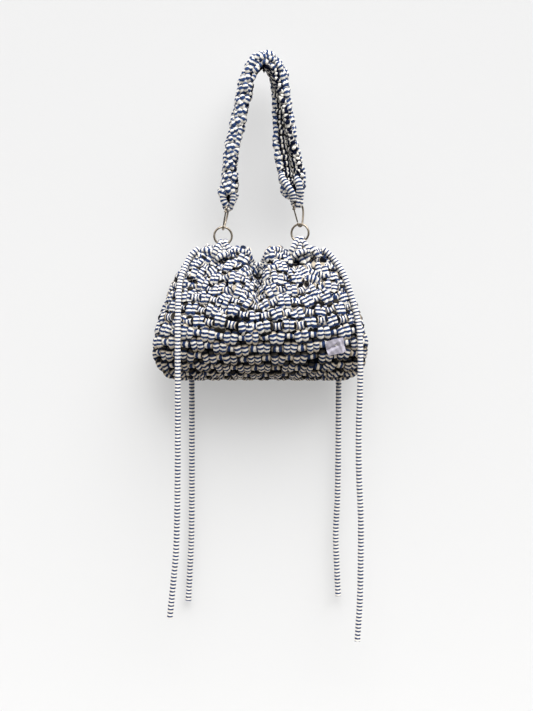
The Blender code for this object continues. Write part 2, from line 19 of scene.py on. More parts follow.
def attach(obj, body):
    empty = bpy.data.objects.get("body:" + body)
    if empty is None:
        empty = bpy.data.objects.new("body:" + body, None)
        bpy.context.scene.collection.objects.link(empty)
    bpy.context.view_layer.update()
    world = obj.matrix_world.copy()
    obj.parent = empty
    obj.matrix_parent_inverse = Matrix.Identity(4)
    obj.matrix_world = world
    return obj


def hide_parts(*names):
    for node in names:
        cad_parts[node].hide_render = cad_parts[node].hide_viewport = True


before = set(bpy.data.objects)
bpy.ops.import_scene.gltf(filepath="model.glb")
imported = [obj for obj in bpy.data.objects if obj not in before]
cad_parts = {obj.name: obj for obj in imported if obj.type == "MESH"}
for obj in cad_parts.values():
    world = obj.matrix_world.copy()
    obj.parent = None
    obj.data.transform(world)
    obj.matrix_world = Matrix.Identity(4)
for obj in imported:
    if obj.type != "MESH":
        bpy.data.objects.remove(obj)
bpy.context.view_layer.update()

MM = 0.001
LOG = logging.getLogger("crochet_bag")
ALONG = np.linspace(-1.0, 1.0, 7)[None, :]       # the places along a stitch, from end to end
FRONT = np.array([0.0, -1.0, 0.0])               # the way to the front


# ---------------------------------------------------------------- names


class Body(Enum):
    """The frame's moving bodies."""

    BAG = "bag"
    GATE_LEFT = "gate_left"
    GATE_RIGHT = "gate_right"


class Slot(Enum):
    """The finishes that a scene may repaint."""

    CROCHET = "crochet"
    CORD = "cord"
    NICKEL = "nickel"
    LABEL = "label"


class Side(Enum):
    """Left or right as seen from the front."""

    LEFT = "left"
    RIGHT = "right"


# ---------------------------------------------------------------- helpers


def linear(colour: str) -> tuple[float, float, float, float]:
    """Turn an sRGB hex colour to linear values.

    Args:
        colour: Seven characters, such as "#C0B49A".

    Returns:
        Red, green, blue and an alpha of 1.
    """
    found = []
    for start in (1, 3, 5):
        share = int(colour[start : start + 2], 16) / 255.0
        found.append(share / 12.92 if share <= 0.04045 else ((share + 0.055) / 1.055) ** 2.4)
    return (found[0], found[1], found[2], 1.0)


def join(tree: bpy.types.NodeTree, node: bpy.types.Node, links: dict) -> None:
    """Feed a node's inputs.

    Args:
        tree: The node tree that it is in.
        node: The node.
        links: For an input's name or number, the socket it takes or its plain value.
    """
    for place, value in links.items():
        if isinstance(value, bpy.types.NodeSocket):
            tree.links.new(value, node.inputs[place])
        else:
            node.inputs[place].default_value = value


def add_node(
    tree: bpy.types.NodeTree, kind: str, links: dict | None = None, **settings: object
) -> bpy.types.Node:
    """Add one shader node with its settings and links.

    Args:
        tree: The material's node tree.
        kind: The node's type.
        links: For an input's name or number, the socket it takes or its plain value.
        settings: Values set on the node itself.

    Returns:
        The new node.
    """
    node = tree.nodes.new(kind)
    for name, value in settings.items():
        setattr(node, name, value)
    join(tree, node, links or {})
    return node


def new_material(name: str) -> tuple[bpy.types.Material, bpy.types.NodeTree, bpy.types.Node]:
    """Make a material with one Principled shader.

    Args:
        name: The material's name.

    Returns:
        The material, its node tree and its shader.
    """
    made = bpy.data.materials.new(name)
    made.use_nodes = True
    return made, made.node_tree, made.node_tree.nodes["Principled BSDF"]


def show(name: str, mesh: bpy.types.Mesh, finishes: list[bpy.types.Material]) -> bpy.types.Object:
    """Put a finished mesh in the scene as an object at the origin.

    Args:
        name: The piece's name.
        mesh: Its mesh, in place.
        finishes: Its materials, in the order of the faces' indexes.

    Returns:
        The object.
    """
    mesh.name = name
    for finish in finishes:
        mesh.materials.append(finish)
    made = bpy.data.objects.new(name, mesh)
    bpy.context.scene.collection.objects.link(made)
    return made


def mesh_of(bm: bmesh.types.BMesh, smooth_angle: float = 60.0) -> bpy.types.Mesh:
    """Turn a bmesh into a smooth shaded mesh and free it.

    Args:
        bm: The shape, with its faces pointing outwards.
        smooth_angle: Edges sharper than this stay sharp, in degrees.

    Returns:
        The mesh.
    """
    mesh = bpy.data.meshes.new("piece")
    bm.to_mesh(mesh)
    bm.free()
    mesh.shade_smooth()
    mesh.set_sharp_from_angle(angle=math.radians(smooth_angle))
    return mesh


def settle(piece: bpy.types.Object, body: Body, slot: Slot, *nodes: str) -> bpy.types.Object:
    """Let a piece ride on a body and stand for the frame's nodes, whose plain solids it hides.

    Args:
        piece: The finished piece.
        body: The body it moves with.
        slot: The finish that a scene may repaint; not used.
        nodes: The plain solids that it replaces.

    Returns:
        The piece.
    """
    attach(piece, body.value)
    if nodes:
        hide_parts(*nodes)
    return piece


def unit(vectors: np.ndarray) -> np.ndarray:
    """Scale vectors in the last axis to length 1."""
    return vectors / np.maximum(np.linalg.norm(vectors, axis=-1, keepdims=True), 1e-12)


def smooth_step(low: float, high: float, at: np.ndarray) -> np.ndarray:
    """Rise evenly from 0 at low to 1 at high, with no kink at either.

    Args:
        low: Where the rise starts.
        high: Where it ends.
        at: Where to read it.

    Returns:
        Shares from 0 to 1.
    """
    share = np.clip((np.asarray(at, float) - low) / (high - low), 0.0, 1.0)
    return share * share * (3.0 - 2.0 * share)


def through(places: np.ndarray, values: np.ndarray, at: np.ndarray) -> np.ndarray:
    """Read a smooth curve that passes through knots.

    Args:
        places: The knots' places, rising.
        values: The knots' values.
        at: Where to read the curve.

    Returns:
        The values there.
    """
    last = len(places) - 1
    before = np.maximum(np.arange(last + 1) - 1, 0)
    after = np.minimum(np.arange(last + 1) + 1, last)
    slopes = (values[after] - values[before]) / (places[after] - places[before])
    at = np.clip(at, places[0], places[-1])
    index = np.clip(np.searchsorted(places, at, side="left") - 1, 0, last - 1)
    span = places[index + 1] - places[index]
    s = (at - places[index]) / span
    return (
        (2 * s**3 - 3 * s**2 + 1) * values[index]
        + (s**3 - 2 * s**2 + s) * span * slopes[index]
        + (3 * s**2 - 2 * s**3) * values[index + 1]
        + (s**3 - s**2) * span * slopes[index + 1]
    )


def runs_of(points: np.ndarray) -> np.ndarray:
    """Measure the way along lines of points.

    Args:
        points: The points, in the last axis but one, by 3.

    Returns:
        Each point's distance along its line from the first.
    """
    steps = np.linalg.norm(np.diff(points, axis=-2), axis=-1)
    start = np.zeros((*steps.shape[:-1], 1))
    return np.concatenate([start, np.cumsum(steps, axis=-1)], axis=-1)


def smooth_route(knots: tuple | np.ndarray, count: int) -> np.ndarray:
    """Points evenly spaced along a smooth curve through knots.

    Args:
        knots: The route's own points.
        count: How many points to return.

    Returns:
        An array of count points.
    """
    route = np.asarray(knots, float)
    runs = runs_of(route)
    at = np.linspace(0.0, runs[-1], count)
    return np.stack([through(runs, route[:, axis], at) for axis in range(3)], axis=-1)


def put(matrix: Matrix, points: np.ndarray) -> np.ndarray:
    """Move points, or turn directions, by a matrix.

    Args:
        matrix: Four by four for points and three by three for directions.
        points: The points, in any shape by 3.

    Returns:
        The moved points, in the same shape.
    """
    moved = [matrix @ Vector(point) for point in points.reshape(-1, 3)]
    return np.array(moved).reshape(points.shape)


def add_rod(bm: bmesh.types.BMesh, radius: float, length: float) -> list[bmesh.types.BMVert]:
    """Add a round rod with flat ends along z, centred at the origin.

    Args:
        bm: The shape that it is added to.
        radius: Its radius.
        length: Its length.

    Returns:
        Its corners.
    """
    made = bmesh.ops.create_cone(
        bm, cap_ends=True, cap_tris=False, segments=20, radius1=radius, radius2=radius, depth=length
    )
    return made["verts"]


def round_rims(bm: bmesh.types.BMesh, offset: float) -> None:
    """Round the rims of a shape's flat ends, its only faces with more than four corners.

    Args:
        bm: The shape.
        offset: How far the rounding reaches.
    """
    rims = [edge for edge in bm.edges if any(len(face.verts) > 4 for face in edge.link_faces)]
    bmesh.ops.bevel(bm, geom=rims, offset=offset, affect="EDGES", segments=2, profile=0.5, material=-1)


def half_round(reach: float, rise: float) -> list[tuple[float, float, float]]:
    """A half circle across a wire, from its front to its back.

    Args:
        reach: The half circle's radius.
        rise: 1 over the wire and -1 under it.

    Returns:
        Its points: along the wire, to the back and up.
    """
    angles = [math.pi * step / 8 for step in range(9)]
    return [(0.0, -reach * math.cos(angle), rise * reach * math.sin(angle)) for angle in angles]


# ---------------------------------------------------------------- finishes


@dataclass(frozen=True)
class StripedCordFinish:
    """Knitted cotton tube cord in blue and cream yarn.

    Matt and slightly furry, with each colour ending in the uneven steps of its knitted courses. Its courses
    run round the cord about every 1.6 mm, which shows as a fine ribbing from near. Where the cord lies
    deep, its colours take a painted warm bounce light and then painted shade, down to near black.
    """

    name: str
    blue: str = "#394E7C"
    blue_deep: str = "#1B2645"
    cream: str = "#F5F3EE"
    cream_warm: str = "#E4DDD0"
    pitch: float = 4.7 * MM          # one blue and one cream stripe along the middle of the cord
    blue_share: float = 0.54
    blur: float = 0.03               # half the width of a stripe's soft edge, as a share of the pitch
    chevron: float = -0.12           # how far a stripe bends round the cord, as a share of the pitch
    waver: float = 0.16              # how far it wanders
    stepping: float = 0.14           # how far its edge steps in and out
    course: float = 1.6 * MM
    step_size: float = 1.7 * MM      # the noise of the steps, of the wandering and of the yarn's dye
    waver_size: float = 9.0 * MM
    dye_size: float = 3.0 * MM
    # painted shade: the near-black colour that the cord is mixed towards where it lies deep
    deep: str = "#020306"
    painted_shade_share: float = 0.97         # how far painted shade darkens the cord where it dives between its neighbours
    painted_shade_range: tuple[float, float] = (0.16, 0.70)
    bounce_tint: str = "#FFFFFF"            # painted warm bounce light: what light that has gone between cream strands does to the colours
    bounce_tint_range: tuple[float, float] = (0.23, 0.36)

    def make(self) -> bpy.types.Material:
        """Build the material from the cord's own way along and round it.

        Returns:
            The material.
        """
        made, tree, shader = new_material(self.name)
        way = add_node(tree, "ShaderNodeAttribute", attribute_name="cord_way").outputs["Vector"]
        parts = add_node(tree, "ShaderNodeSeparateXYZ", {0: way})
        run = parts.outputs["X"]
        spot = add_node(tree, "ShaderNodeTexCoord").outputs["Object"]
        finely = {"Vector": spot, "Scale": 1.0 / self.step_size, "Detail": 1.0}
        steps = add_node(tree, "ShaderNodeTexNoise", finely).outputs["Fac"]
        striped = self.stripes(tree, run, parts.outputs["Y"], spot, steps)
        rib = add_node(tree, "ShaderNodeMath", {0: run, 1: 2.0 * math.pi / self.course}, operation="MULTIPLY")
        ribbing = add_node(tree, "ShaderNodeMath", {0: rib.outputs[0]}, operation="SINE")
        relief = add_node(
            tree, "ShaderNodeMath", {0: ribbing.outputs[0], 1: 0.25, 2: steps}, operation="MULTIPLY_ADD"
        )
        bump = add_node(
            tree, "ShaderNodeBump", {"Height": relief.outputs[0], "Strength": 0.7, "Distance": 0.5 * MM}
        )
        # the base colour carries the painted bounce light and painted shade of the cord's deep parts
        join(tree, shader, {"Base Color": self.paint_shade(tree, striped), "Normal": bump.outputs["Normal"]})
        join(tree, shader, {"Roughness": 0.92, "Specular IOR Level": 0.05})
        join(tree, shader, {"Sheen Weight": 0.01, "Sheen Roughness": 0.6})
        return made

    def stripes(
        self,
        tree: bpy.types.NodeTree,
        run: bpy.types.NodeSocket,
        across: bpy.types.NodeSocket,
        spot: bpy.types.NodeSocket,
        steps: bpy.types.NodeSocket,
    ) -> bpy.types.NodeSocket:
        """Add the stripes, whose edges bend round the cord, wander and step.

        Args:
            tree: The material's node tree.
            run: The way along the cord, in metres.
            across: The place across the cord, from -1 to 1.
            spot: The place on the piece.
            steps: The fine noise of the knitted steps.

        Returns:
            The stripes' colour.
        """
        widely = {"Vector": spot, "Scale": 1.0 / self.waver_size, "Detail": 1.0}
        wander = add_node(tree, "ShaderNodeTexNoise", widely)
        bend = add_node(tree, "ShaderNodeMath", {0: across}, operation="ABSOLUTE")
        phase = add_node(tree, "ShaderNodeMath", {0: run, 1: 1.0 / self.pitch}, operation="MULTIPLY")
        shifts = (
            (bend.outputs[0], self.chevron),
            (wander.outputs["Fac"], 2.0 * self.waver),
            (steps, self.stepping),
        )
        for value, amount in shifts:
            phase = add_node(
                tree, "ShaderNodeMath", {0: value, 1: amount, 2: phase.outputs[0]}, operation="MULTIPLY_ADD"
            )
        from_blue = add_node(tree, "ShaderNodeMath", {0: phase.outputs[0], 1: 0.5}, operation="PINGPONG")
        edge = 0.5 * self.blue_share
        is_cream = add_node(
            tree,
            "ShaderNodeMapRange",
            {"Value": from_blue.outputs[0], "From Min": edge - self.blur, "From Max": edge + self.blur},
            interpolation_type="SMOOTHSTEP",
        )
        patches = {"Vector": spot, "Scale": 1.0 / self.dye_size, "Detail": 2.0}
        dye = add_node(tree, "ShaderNodeTexNoise", patches)
        yarns = []
        for dark, light in ((self.blue_deep, self.blue), (self.cream_warm, self.cream)):
            mixed = {0: dye.outputs["Fac"], 6: linear(dark), 7: linear(light)}
            yarns.append(add_node(tree, "ShaderNodeMix", mixed, data_type="RGBA").outputs[2])
        choice = {0: is_cream.outputs["Result"], 6: yarns[0], 7: yarns[1]}
        return add_node(tree, "ShaderNodeMix", choice, data_type="RGBA").outputs[2]

    def paint_shade(self, tree: bpy.types.NodeTree, striped: bpy.types.NodeSocket) -> bpy.types.NodeSocket:
        """Paint a warm bounce light and then painted shade over the stripes where the cord lies deep.

        Args:
            tree: The material's node tree.
            striped: The stripes' colour.

        Returns:
            The cord's colour.
        """
        depth = add_node(tree, "ShaderNodeAttribute", attribute_name="cord_depth").outputs["Fac"]
        # painted warm bounce light, multiplied in where the cord lies deep
        low, high = self.bounce_tint_range
        warm = add_node(tree, "ShaderNodeMapRange", {"Value": depth, "From Min": low, "From Max": high})
        tinted = add_node(
            tree,
            "ShaderNodeMix",
            {0: warm.outputs["Result"], 6: striped, 7: linear(self.bounce_tint)},
            data_type="RGBA",
            blend_type="MULTIPLY",
        )
        # painted shade: a mix towards near black where the cord lies deep
        low, high = self.painted_shade_range
        shade_amount = add_node(
            tree,
            "ShaderNodeMapRange",
            {"Value": depth, "From Min": low, "From Max": high, "To Max": self.painted_shade_share},
            interpolation_type="SMOOTHSTEP",
        )
        layers = {0: shade_amount.outputs["Result"], 6: tinted.outputs[2], 7: linear(self.deep)}
        return add_node(tree, "ShaderNodeMix", layers, data_type="RGBA").outputs[2]


@dataclass(frozen=True)
class ShadeUnderlayerFinish:
    """The same cord deep between the stitches, painted near black as the shade that falls there, with a faint
    weave.
    """

    name: str = "shaded_cotton_underlayer"
    dark: str = "#020308"
    less_dark: str = "#080B16"
    strand: float = 4.0 * MM

    def make(self) -> bpy.types.Material:
        """Build the material.

        Returns:
            The material.
        """
        made, tree, shader = new_material(self.name)
        spot = add_node(tree, "ShaderNodeTexCoord").outputs["Object"]
        strands = add_node(tree, "ShaderNodeTexVoronoi", {"Vector": spot, "Scale": 1.0 / self.strand})
        depth = strands.outputs["Distance"]
        mixed = {0: depth, 6: linear(self.less_dark), 7: linear(self.dark)}
        colour = add_node(tree, "ShaderNodeMix", mixed, data_type="RGBA")
        bump = add_node(tree, "ShaderNodeBump", {"Height": depth, "Strength": 0.8, "Distance": 1.0 * MM})
        join(tree, shader, {"Base Color": colour.outputs[2], "Normal": bump.outputs["Normal"]})
        join(tree, shader, {"Roughness": 0.95, "Specular IOR Level": 0.0})
        return made


@dataclass(frozen=True)
class NickelFinish:
    """Nickel plate on steel wire, polished and then handled.

    A warm grey mirror with hairline scuffs and a little dull tarnish, so its highlights are bright but
    uneven.
    """

    name: str = "polished_nickel_plate"
    bright: str = "#BCB1A2"
    tarnish: str = "#6A5F52"
    smooth: float = 0.12
    scuffed: float = 0.30
    patch_size: float = 4.0 * MM
    hair_size: float = 0.6 * MM

    def make(self) -> bpy.types.Material:
        """Build the material.

        Returns:
            The material.
        """
        made, tree, shader = new_material(self.name)
        spot = add_node(tree, "ShaderNodeTexCoord").outputs["Object"]
        noises = []
        for size, detail in ((self.patch_size, 3.0), (self.hair_size, 2.0)):
            settings = {"Vector": spot, "Scale": 1.0 / size, "Detail": detail}
            noises.append(add_node(tree, "ShaderNodeTexNoise", settings).outputs["Fac"])
        dull, hairs = noises
        mixed = {0: dull, 6: linear(self.tarnish), 7: linear(self.bright)}
        colour = add_node(tree, "ShaderNodeMix", mixed, data_type="RGBA")
        rough = add_node(
            tree,
            "ShaderNodeMapRange",
            {"Value": dull, "From Min": 0.3, "From Max": 0.7, "To Min": self.scuffed, "To Max": self.smooth},
        )
        bump = add_node(tree, "ShaderNodeBump", {"Height": hairs, "Strength": 0.25, "Distance": 0.05 * MM})
        join(tree, shader, {"Base Color": colour.outputs[2], "Normal": bump.outputs["Normal"]})
        join(tree, shader, {"Roughness": rough.outputs["Result"], "Metallic": 1.0})
        return made


@dataclass(frozen=True)
class SatinFinish:
    """Woven polyester satin label ribbon, pale lilac grey.

    Its floats run across, so it shines in soft bands where it is creased. Threads are drawn 0.5 mm apart,
    about twice their real spacing, so that they show.
    """

    name: str = "woven_satin_ribbon"
    pale: str = "#CDC9D5"
    shade: str = "#9D97A8"
    blotch_size: float = 9.0 * MM
    thread_pitch: float = 0.5 * MM

    def make(self) -> bpy.types.Material:
        """Build the material.

        Returns:
            The material.
        """
        made, tree, shader = new_material(self.name)
        spot = add_node(tree, "ShaderNodeTexCoord").outputs["Object"]
        patches = {"Vector": spot, "Scale": 1.0 / self.blotch_size, "Detail": 3.0}
        blotch = add_node(tree, "ShaderNodeTexNoise", patches)
        mixed = {0: blotch.outputs["Fac"], 6: linear(self.shade), 7: linear(self.pale)}
        colour = add_node(tree, "ShaderNodeMix", mixed, data_type="RGBA")
        # a wave texture of scale 1 has 20 radians a metre, so this is one wave to a thread
        threads = add_node(
            tree,
            "ShaderNodeTexWave",
            {"Vector": spot, "Scale": 1.0 / (math.pi * self.thread_pitch), "Distortion": 0.6},
            bands_direction="Z",
        )
        bump = add_node(
            tree, "ShaderNodeBump", {"Height": threads.outputs["Fac"], "Strength": 0.5, "Distance": 0.08 * MM}
        )
        join(tree, shader, {"Base Color": colour.outputs[2], "Normal": bump.outputs["Normal"]})
        join(tree, shader, {"Roughness": 0.42, "Sheen Weight": 0.3})
        return made


# ---------------------------------------------------------------- cords


@dataclass
class CordMould:
    """A straight length of cord whose copies are bent along many paths and joined in one mesh."""

    sides: int = 8
    rings: int = 7
    ring_of: np.ndarray = field(init=False)             # which ring each point belongs to
    round_of: np.ndarray = field(init=False)            # where it stands across and over the cord
    faces: list[list[int]] = field(init=False)

    def __post_init__(self) -> None:
        """Turn the straight length once and note where each of its points belongs."""
        bm = bmesh.new()
        bmesh.ops.create_cone(
            bm, cap_ends=True, cap_tris=False, segments=self.sides, radius1=1.0, radius2=1.0, depth=2.0
        )
        long_edges = [e for e in bm.edges if abs(e.verts[0].co.z - e.verts[1].co.z) > 1.0]
        bmesh.ops.subdivide_edges(bm, edges=long_edges, cuts=self.rings - 2, use_grid_fill=True)
        bmesh.ops.recalc_face_normals(bm, faces=bm.faces)
        bm.verts.ensure_lookup_table()
        places = np.array([v.co for v in bm.verts])
        self.ring_of = np.rint((places[:, 2] + 1.0) * 0.5 * (self.rings - 1)).astype(int)
        self.round_of = unit(places[:, :2])
        self.faces = [[v.index for v in face.verts] for face in bm.faces]
        bm.free()

    def cast(
        self,
        name: str,
        centres: np.ndarray,
        outward: np.ndarray,
        radii: np.ndarray,
        phases: np.ndarray,
        finish: bpy.types.Material,
        flatness: float = 1.0,
        depths: np.ndarray | None = None,
        stretches: np.ndarray | float = 1.0,
    ) -> bpy.types.Object:
        """Lay a copy of the cord along each path.

        Args:
            name: The piece's name.
            centres: The paths, as copies by rings by 3.
            outward: The direction that each ring's top faces, in a shape that fits the paths'.
            radii: Each ring's radius, as copies by rings.
            phases: Where in its stripes each copy starts, in metres along the cord.
            finish: The cord's material.
            flatness: The section's height over its width.
            depths: How deep each ring lies between its neighbours, from 0 to 1, which sets its painted shade.
            stretches: How far each copy is pulled out, which widens its stripes.

        Returns:
            The joined object.
        """
        along = unit(np.gradient(centres, axis=1))
        sideways = unit(np.cross(outward, along))
        upward = np.cross(along, sideways)
        ring = self.ring_of
        across = self.round_of[:, 0][None, :, None]
        over = self.round_of[:, 1][None, :, None] * flatness
        reach = sideways[:, ring] * across + upward[:, ring] * over
        places = centres[:, ring] + radii[:, ring, None] * reach
        copies, size = places.shape[:2]
        way = np.empty((copies, size, 3))
        way[..., 0] = runs_of(centres)[:, ring] / np.reshape(stretches, (-1, 1)) + phases[:, None]
        way[..., 1:] = self.round_of
        faces = [[index + size * copy for index in face] for copy in range(copies) for face in self.faces]
        mesh = bpy.data.meshes.new(name)
        mesh.from_pydata(places.reshape(-1, 3).tolist(), [], faces)
        attribute = mesh.attributes.new("cord_way", "FLOAT_VECTOR", "POINT")
        attribute.data.foreach_set("vector", way.astype(np.float32).ravel())
        # each point's share of painted shade, which the cord's material reads
        if depths is not None:
            dived = mesh.attributes.new("cord_depth", "FLOAT", "POINT")
            dived.data.foreach_set("value", depths[:, ring].astype(np.float32).ravel())
        mesh.shade_smooth()
        mesh.set_sharp_from_angle(angle=math.radians(70.0))
        return show(name, mesh, [finish])


@dataclass
class Skin:
    """A surface sampled in levels and columns, closed round its columns, that stitches are laid on."""

    points: np.ndarray                                  # levels by columns by 3
    outwards: np.ndarray = field(init=False)
    round_length: np.ndarray = field(init=False)        # once round each level
    climb: float = field(init=False)                    # from the lowest level to the highest

    def __post_init__(self) -> None:
        """Work out which way the surface faces, and its size round and up."""
        wide = np.concatenate([self.points[:, -1:], self.points, self.points[:, :1]], axis=1)
        self.outwards = unit(np.cross(wide[:, 2:] - wide[:, :-2], np.gradient(self.points, axis=0)))
        self.round_length = runs_of(wide[:, 1:])[:, -1]
        self.climb = float(runs_of(np.swapaxes(self.points, 0, 1))[:, -1].mean())

    def read(self, values: np.ndarray, u: np.ndarray, v: np.ndarray) -> np.ndarray:
        """Read values kept at the samples, evenly between four of them.

        Args:
            values: Levels by columns by 3.
            u: Shares of the way round.
            v: Shares of the way up.

        Returns:
            The values, with 3 in the last axis.
        """
        levels, columns = values.shape[:2]
        row = np.clip(v, 0.0, 1.0) * (levels - 1)
        low = np.minimum(row.astype(int), levels - 2)
        row_part = (row - low)[..., None]
        column = np.mod(u, 1.0) * columns
        here = column.astype(int) % columns
        column_part = (column - np.floor(column))[..., None]
        beside = (here + 1) % columns
        bottom = values[low, here] * (1.0 - column_part) + values[low, beside] * column_part
        top = values[low + 1, here] * (1.0 - column_part) + values[low + 1, beside] * column_part
        return bottom * (1.0 - row_part) + top * row_part

    def at(self, u: np.ndarray, v: np.ndarray) -> tuple[np.ndarray, np.ndarray]:
        """The points and the outward directions at shares round and up."""
        return self.read(self.points, u, v), unit(self.read(self.outwards, u, v))

    def width_at(self, v: np.ndarray) -> np.ndarray:
        """The length once round at a share of the way up."""
        return np.interp(v, np.linspace(0.0, 1.0, len(self.round_length)), self.round_length)

    def lining(
        self, columns: int, levels: int, span: tuple[float, float], depth: float, fade: float = 0.0
    ) -> bmesh.types.BMesh:
        """Make a shape that runs all round under the surface, open at its low and its high end.

        Args:
            columns: Faces round it.
            levels: Faces up it.
            span: Where it starts and stops, as shares of the way up.
            depth: How far it lies under the surface.
            fade: The share of its own height over which it sinks that far.

        Returns:
            The shape.
        """
        bm = bmesh.new()
        bmesh.ops.create_grid(bm, x_segments=columns, y_segments=levels, size=0.5)
        shares = np.array([vert.co for vert in bm.verts]) + 0.5
        u, v = shares[:, 0], shares[:, 1]
        places, outwards = self.at(u, span[0] + (span[1] - span[0]) * v)
        sunk = depth * np.minimum(1.0, v / fade) if fade else np.full(len(v), depth)
        for vert, place in zip(bm.verts, places - outwards * sunk[:, None]):
            vert.co = place
        bmesh.ops.remove_doubles(bm, verts=bm.verts, dist=0.02 * MM)
        return bm


@dataclass(frozen=True)
class PaintedShadeRule:
    """How deep a strand counts as lying, from 0 to 1, which sets how much painted shade darkens its cord."""

    least: float = 0.0               # the least painted shade, everywhere
    low: float = 0.0                 # painted shade added towards the bottom
    low_gain: float = 0.0            # how much deeper a dive counts there
    high_share: float = 1.0          # what is left of the painted shade towards the top
    open_end: float = 2.0            # the share of the way up past which no painted shade is laid
    full: float = 6.0 * MM           # the dive that counts as 1

    def of(self, dive: np.ndarray, v: np.ndarray) -> np.ndarray:
        """Work out depths, which set how much painted shade each strand gets.

        Args:
            dive: How far strands dive between their neighbours.
            v: Their places up, as shares.

        Returns:
            The depths.
        """
        # painted shade grows towards the bottom and fades towards the top
        lowness = 1.0 - smooth_step(0.20, 0.66, v)
        highness = smooth_step(0.4, 0.75, v)
        gain = (1.0 - (1.0 - self.high_share) * highness) * (1.0 + self.low_gain * lowness)
        lain = np.maximum(dive / self.full * gain, self.least) + self.low * lowness
        return np.clip(lain * (1.0 - smooth_step(self.open_end - 0.06, self.open_end, v)), 0.0, 1.0)


@dataclass
class Strands:
    """Short lengths of cord laid on a skin, collected before they are cast together."""

    skin: Skin
    laid: list[tuple[np.ndarray, ...]] = field(default_factory=list)

    def lay(
        self,
        u: np.ndarray,
        v: np.ndarray,
        across: np.ndarray,
        up: np.ndarray,
        height: np.ndarray,
        radius: np.ndarray,
        phase: np.ndarray,
        turn: np.ndarray,
        stretch: float = 1.0,
    ) -> None:
        """Add one strand at each place, drawn in its own flat measure and turned there.

        Args:
            u: Each strand's place round, as a share.
            v: Each strand's place up, as a share.
            across: Each path's distance across from its place, strands by rings.
            up: Each path's distance up from its place, in a shape that fits.
            height: Each path's height over the skin, strands by rings.
            radius: Each ring's radius, strands by rings.
            phase: Where in its stripes each strand starts, in metres.
            turn: How far each strand is turned on the skin, in radians.
            stretch: How far the cord is pulled out, which widens its stripes.
        """
        cosine = np.cos(turn)[:, None]
        sine = np.sin(turn)[:, None]
        round_share = u[:, None] + (across * cosine - up * sine) / self.skin.width_at(v)[:, None]
        up_share = v[:, None] + (across * sine + up * cosine) / self.skin.climb
        self.laid.append((round_share, up_share, height, radius, phase, np.full(len(v), stretch)))

    def cast(
        self, name: str, finish: bpy.types.Material, sag: float = 0.0, depth: PaintedShadeRule = PaintedShadeRule()
    ) -> bpy.types.Object:
        """Bend every collected strand over the skin and join them.

        Args:
            name: The piece's name.
            finish: The cord's material.
            sag: How far rows rise towards the two sides, as a share of the wall.
            depth: How deep the strands count as lying, which sets their painted shade.

        Returns:
            The joined object.
        """
        u, v, height, radius, phase, stretch = (np.concatenate(parts) for parts in zip(*self.laid))
        v = v + sag * np.sin(2.0 * math.pi * u) ** 2 * np.sin(math.pi * np.clip(v, 0.0, 1.0))
        points, outwards = self.skin.at(u, v)
        dive = np.abs(height - height[:, height.shape[1] // 2][:, None])
        return CordMould().cast(
            name,
            points + outwards * height[..., None],
            outwards,
            radius,
            phase,
            finish,
            depths=depth.of(dive, v),
            stretches=stretch,
        )


@dataclass(frozen=True)
class Stub:
    """The shape of an upright stitch. A spread is how much one stitch differs from the next."""

    radius: float
    spacing: float                   # half the way from one of a pair to the other, in radii
    lean: float                      # how much farther apart their upper ends lie than their middles
    lean_spread: float
    half_rows: float                 # half its length, in rows
    half_spread: float
    upper_dive: tuple[float, float]  # how far its upper end dives, in millimetres, and the power of its bend
    lower_dive: tuple[float, float]
    taper: float                     # how much slimmer its ends are
    stripe_spread: float             # in pitches of its stripes
    radius_spread: float = 0.08

    def thickness(self, snug: np.ndarray, rng: np.random.Generator) -> np.ndarray:
        """Draw the radius of each stitch of a row.

        Args:
            snug: How far each is squeezed by its neighbours.
            rng: The source of small differences.

        Returns:
            The radii at their middles.
        """
        return self.radius * snug * (1.0 + self.radius_spread * rng.normal(size=len(snug)))

    def beside(self, side: float, radius: np.ndarray, rng: np.random.Generator) -> np.ndarray:
        """Draw how far each stitch of a row stands from the middle of its pair.

        Args:
            side: -1 or 1 for the two of a pair, and 0 for a single stitch.
            radius: Their radii.
            rng: The source of small differences.

        Returns:
            The distances, stitches by places along.
        """
        lean = self.lean + self.lean_spread * rng.normal(size=len(radius))
        return side * (radius[:, None] * self.spacing + lean[:, None] * ALONG)

    def dive(self) -> np.ndarray:
        """How far each place along a stitch dives between its neighbours."""
        upper, lower = [deep * np.abs(ALONG) ** power for deep, power in (self.upper_dive, self.lower_dive)]
        return MM * np.where(ALONG > 0.0, upper, lower)

    def swell(self, radius: np.ndarray) -> np.ndarray:
        """The radius at each place along stitches with the given radii at their middles."""
        return radius[:, None] * (1.0 - self.taper * np.abs(ALONG) ** 3)


# ---------------------------------------------------------------- pouch


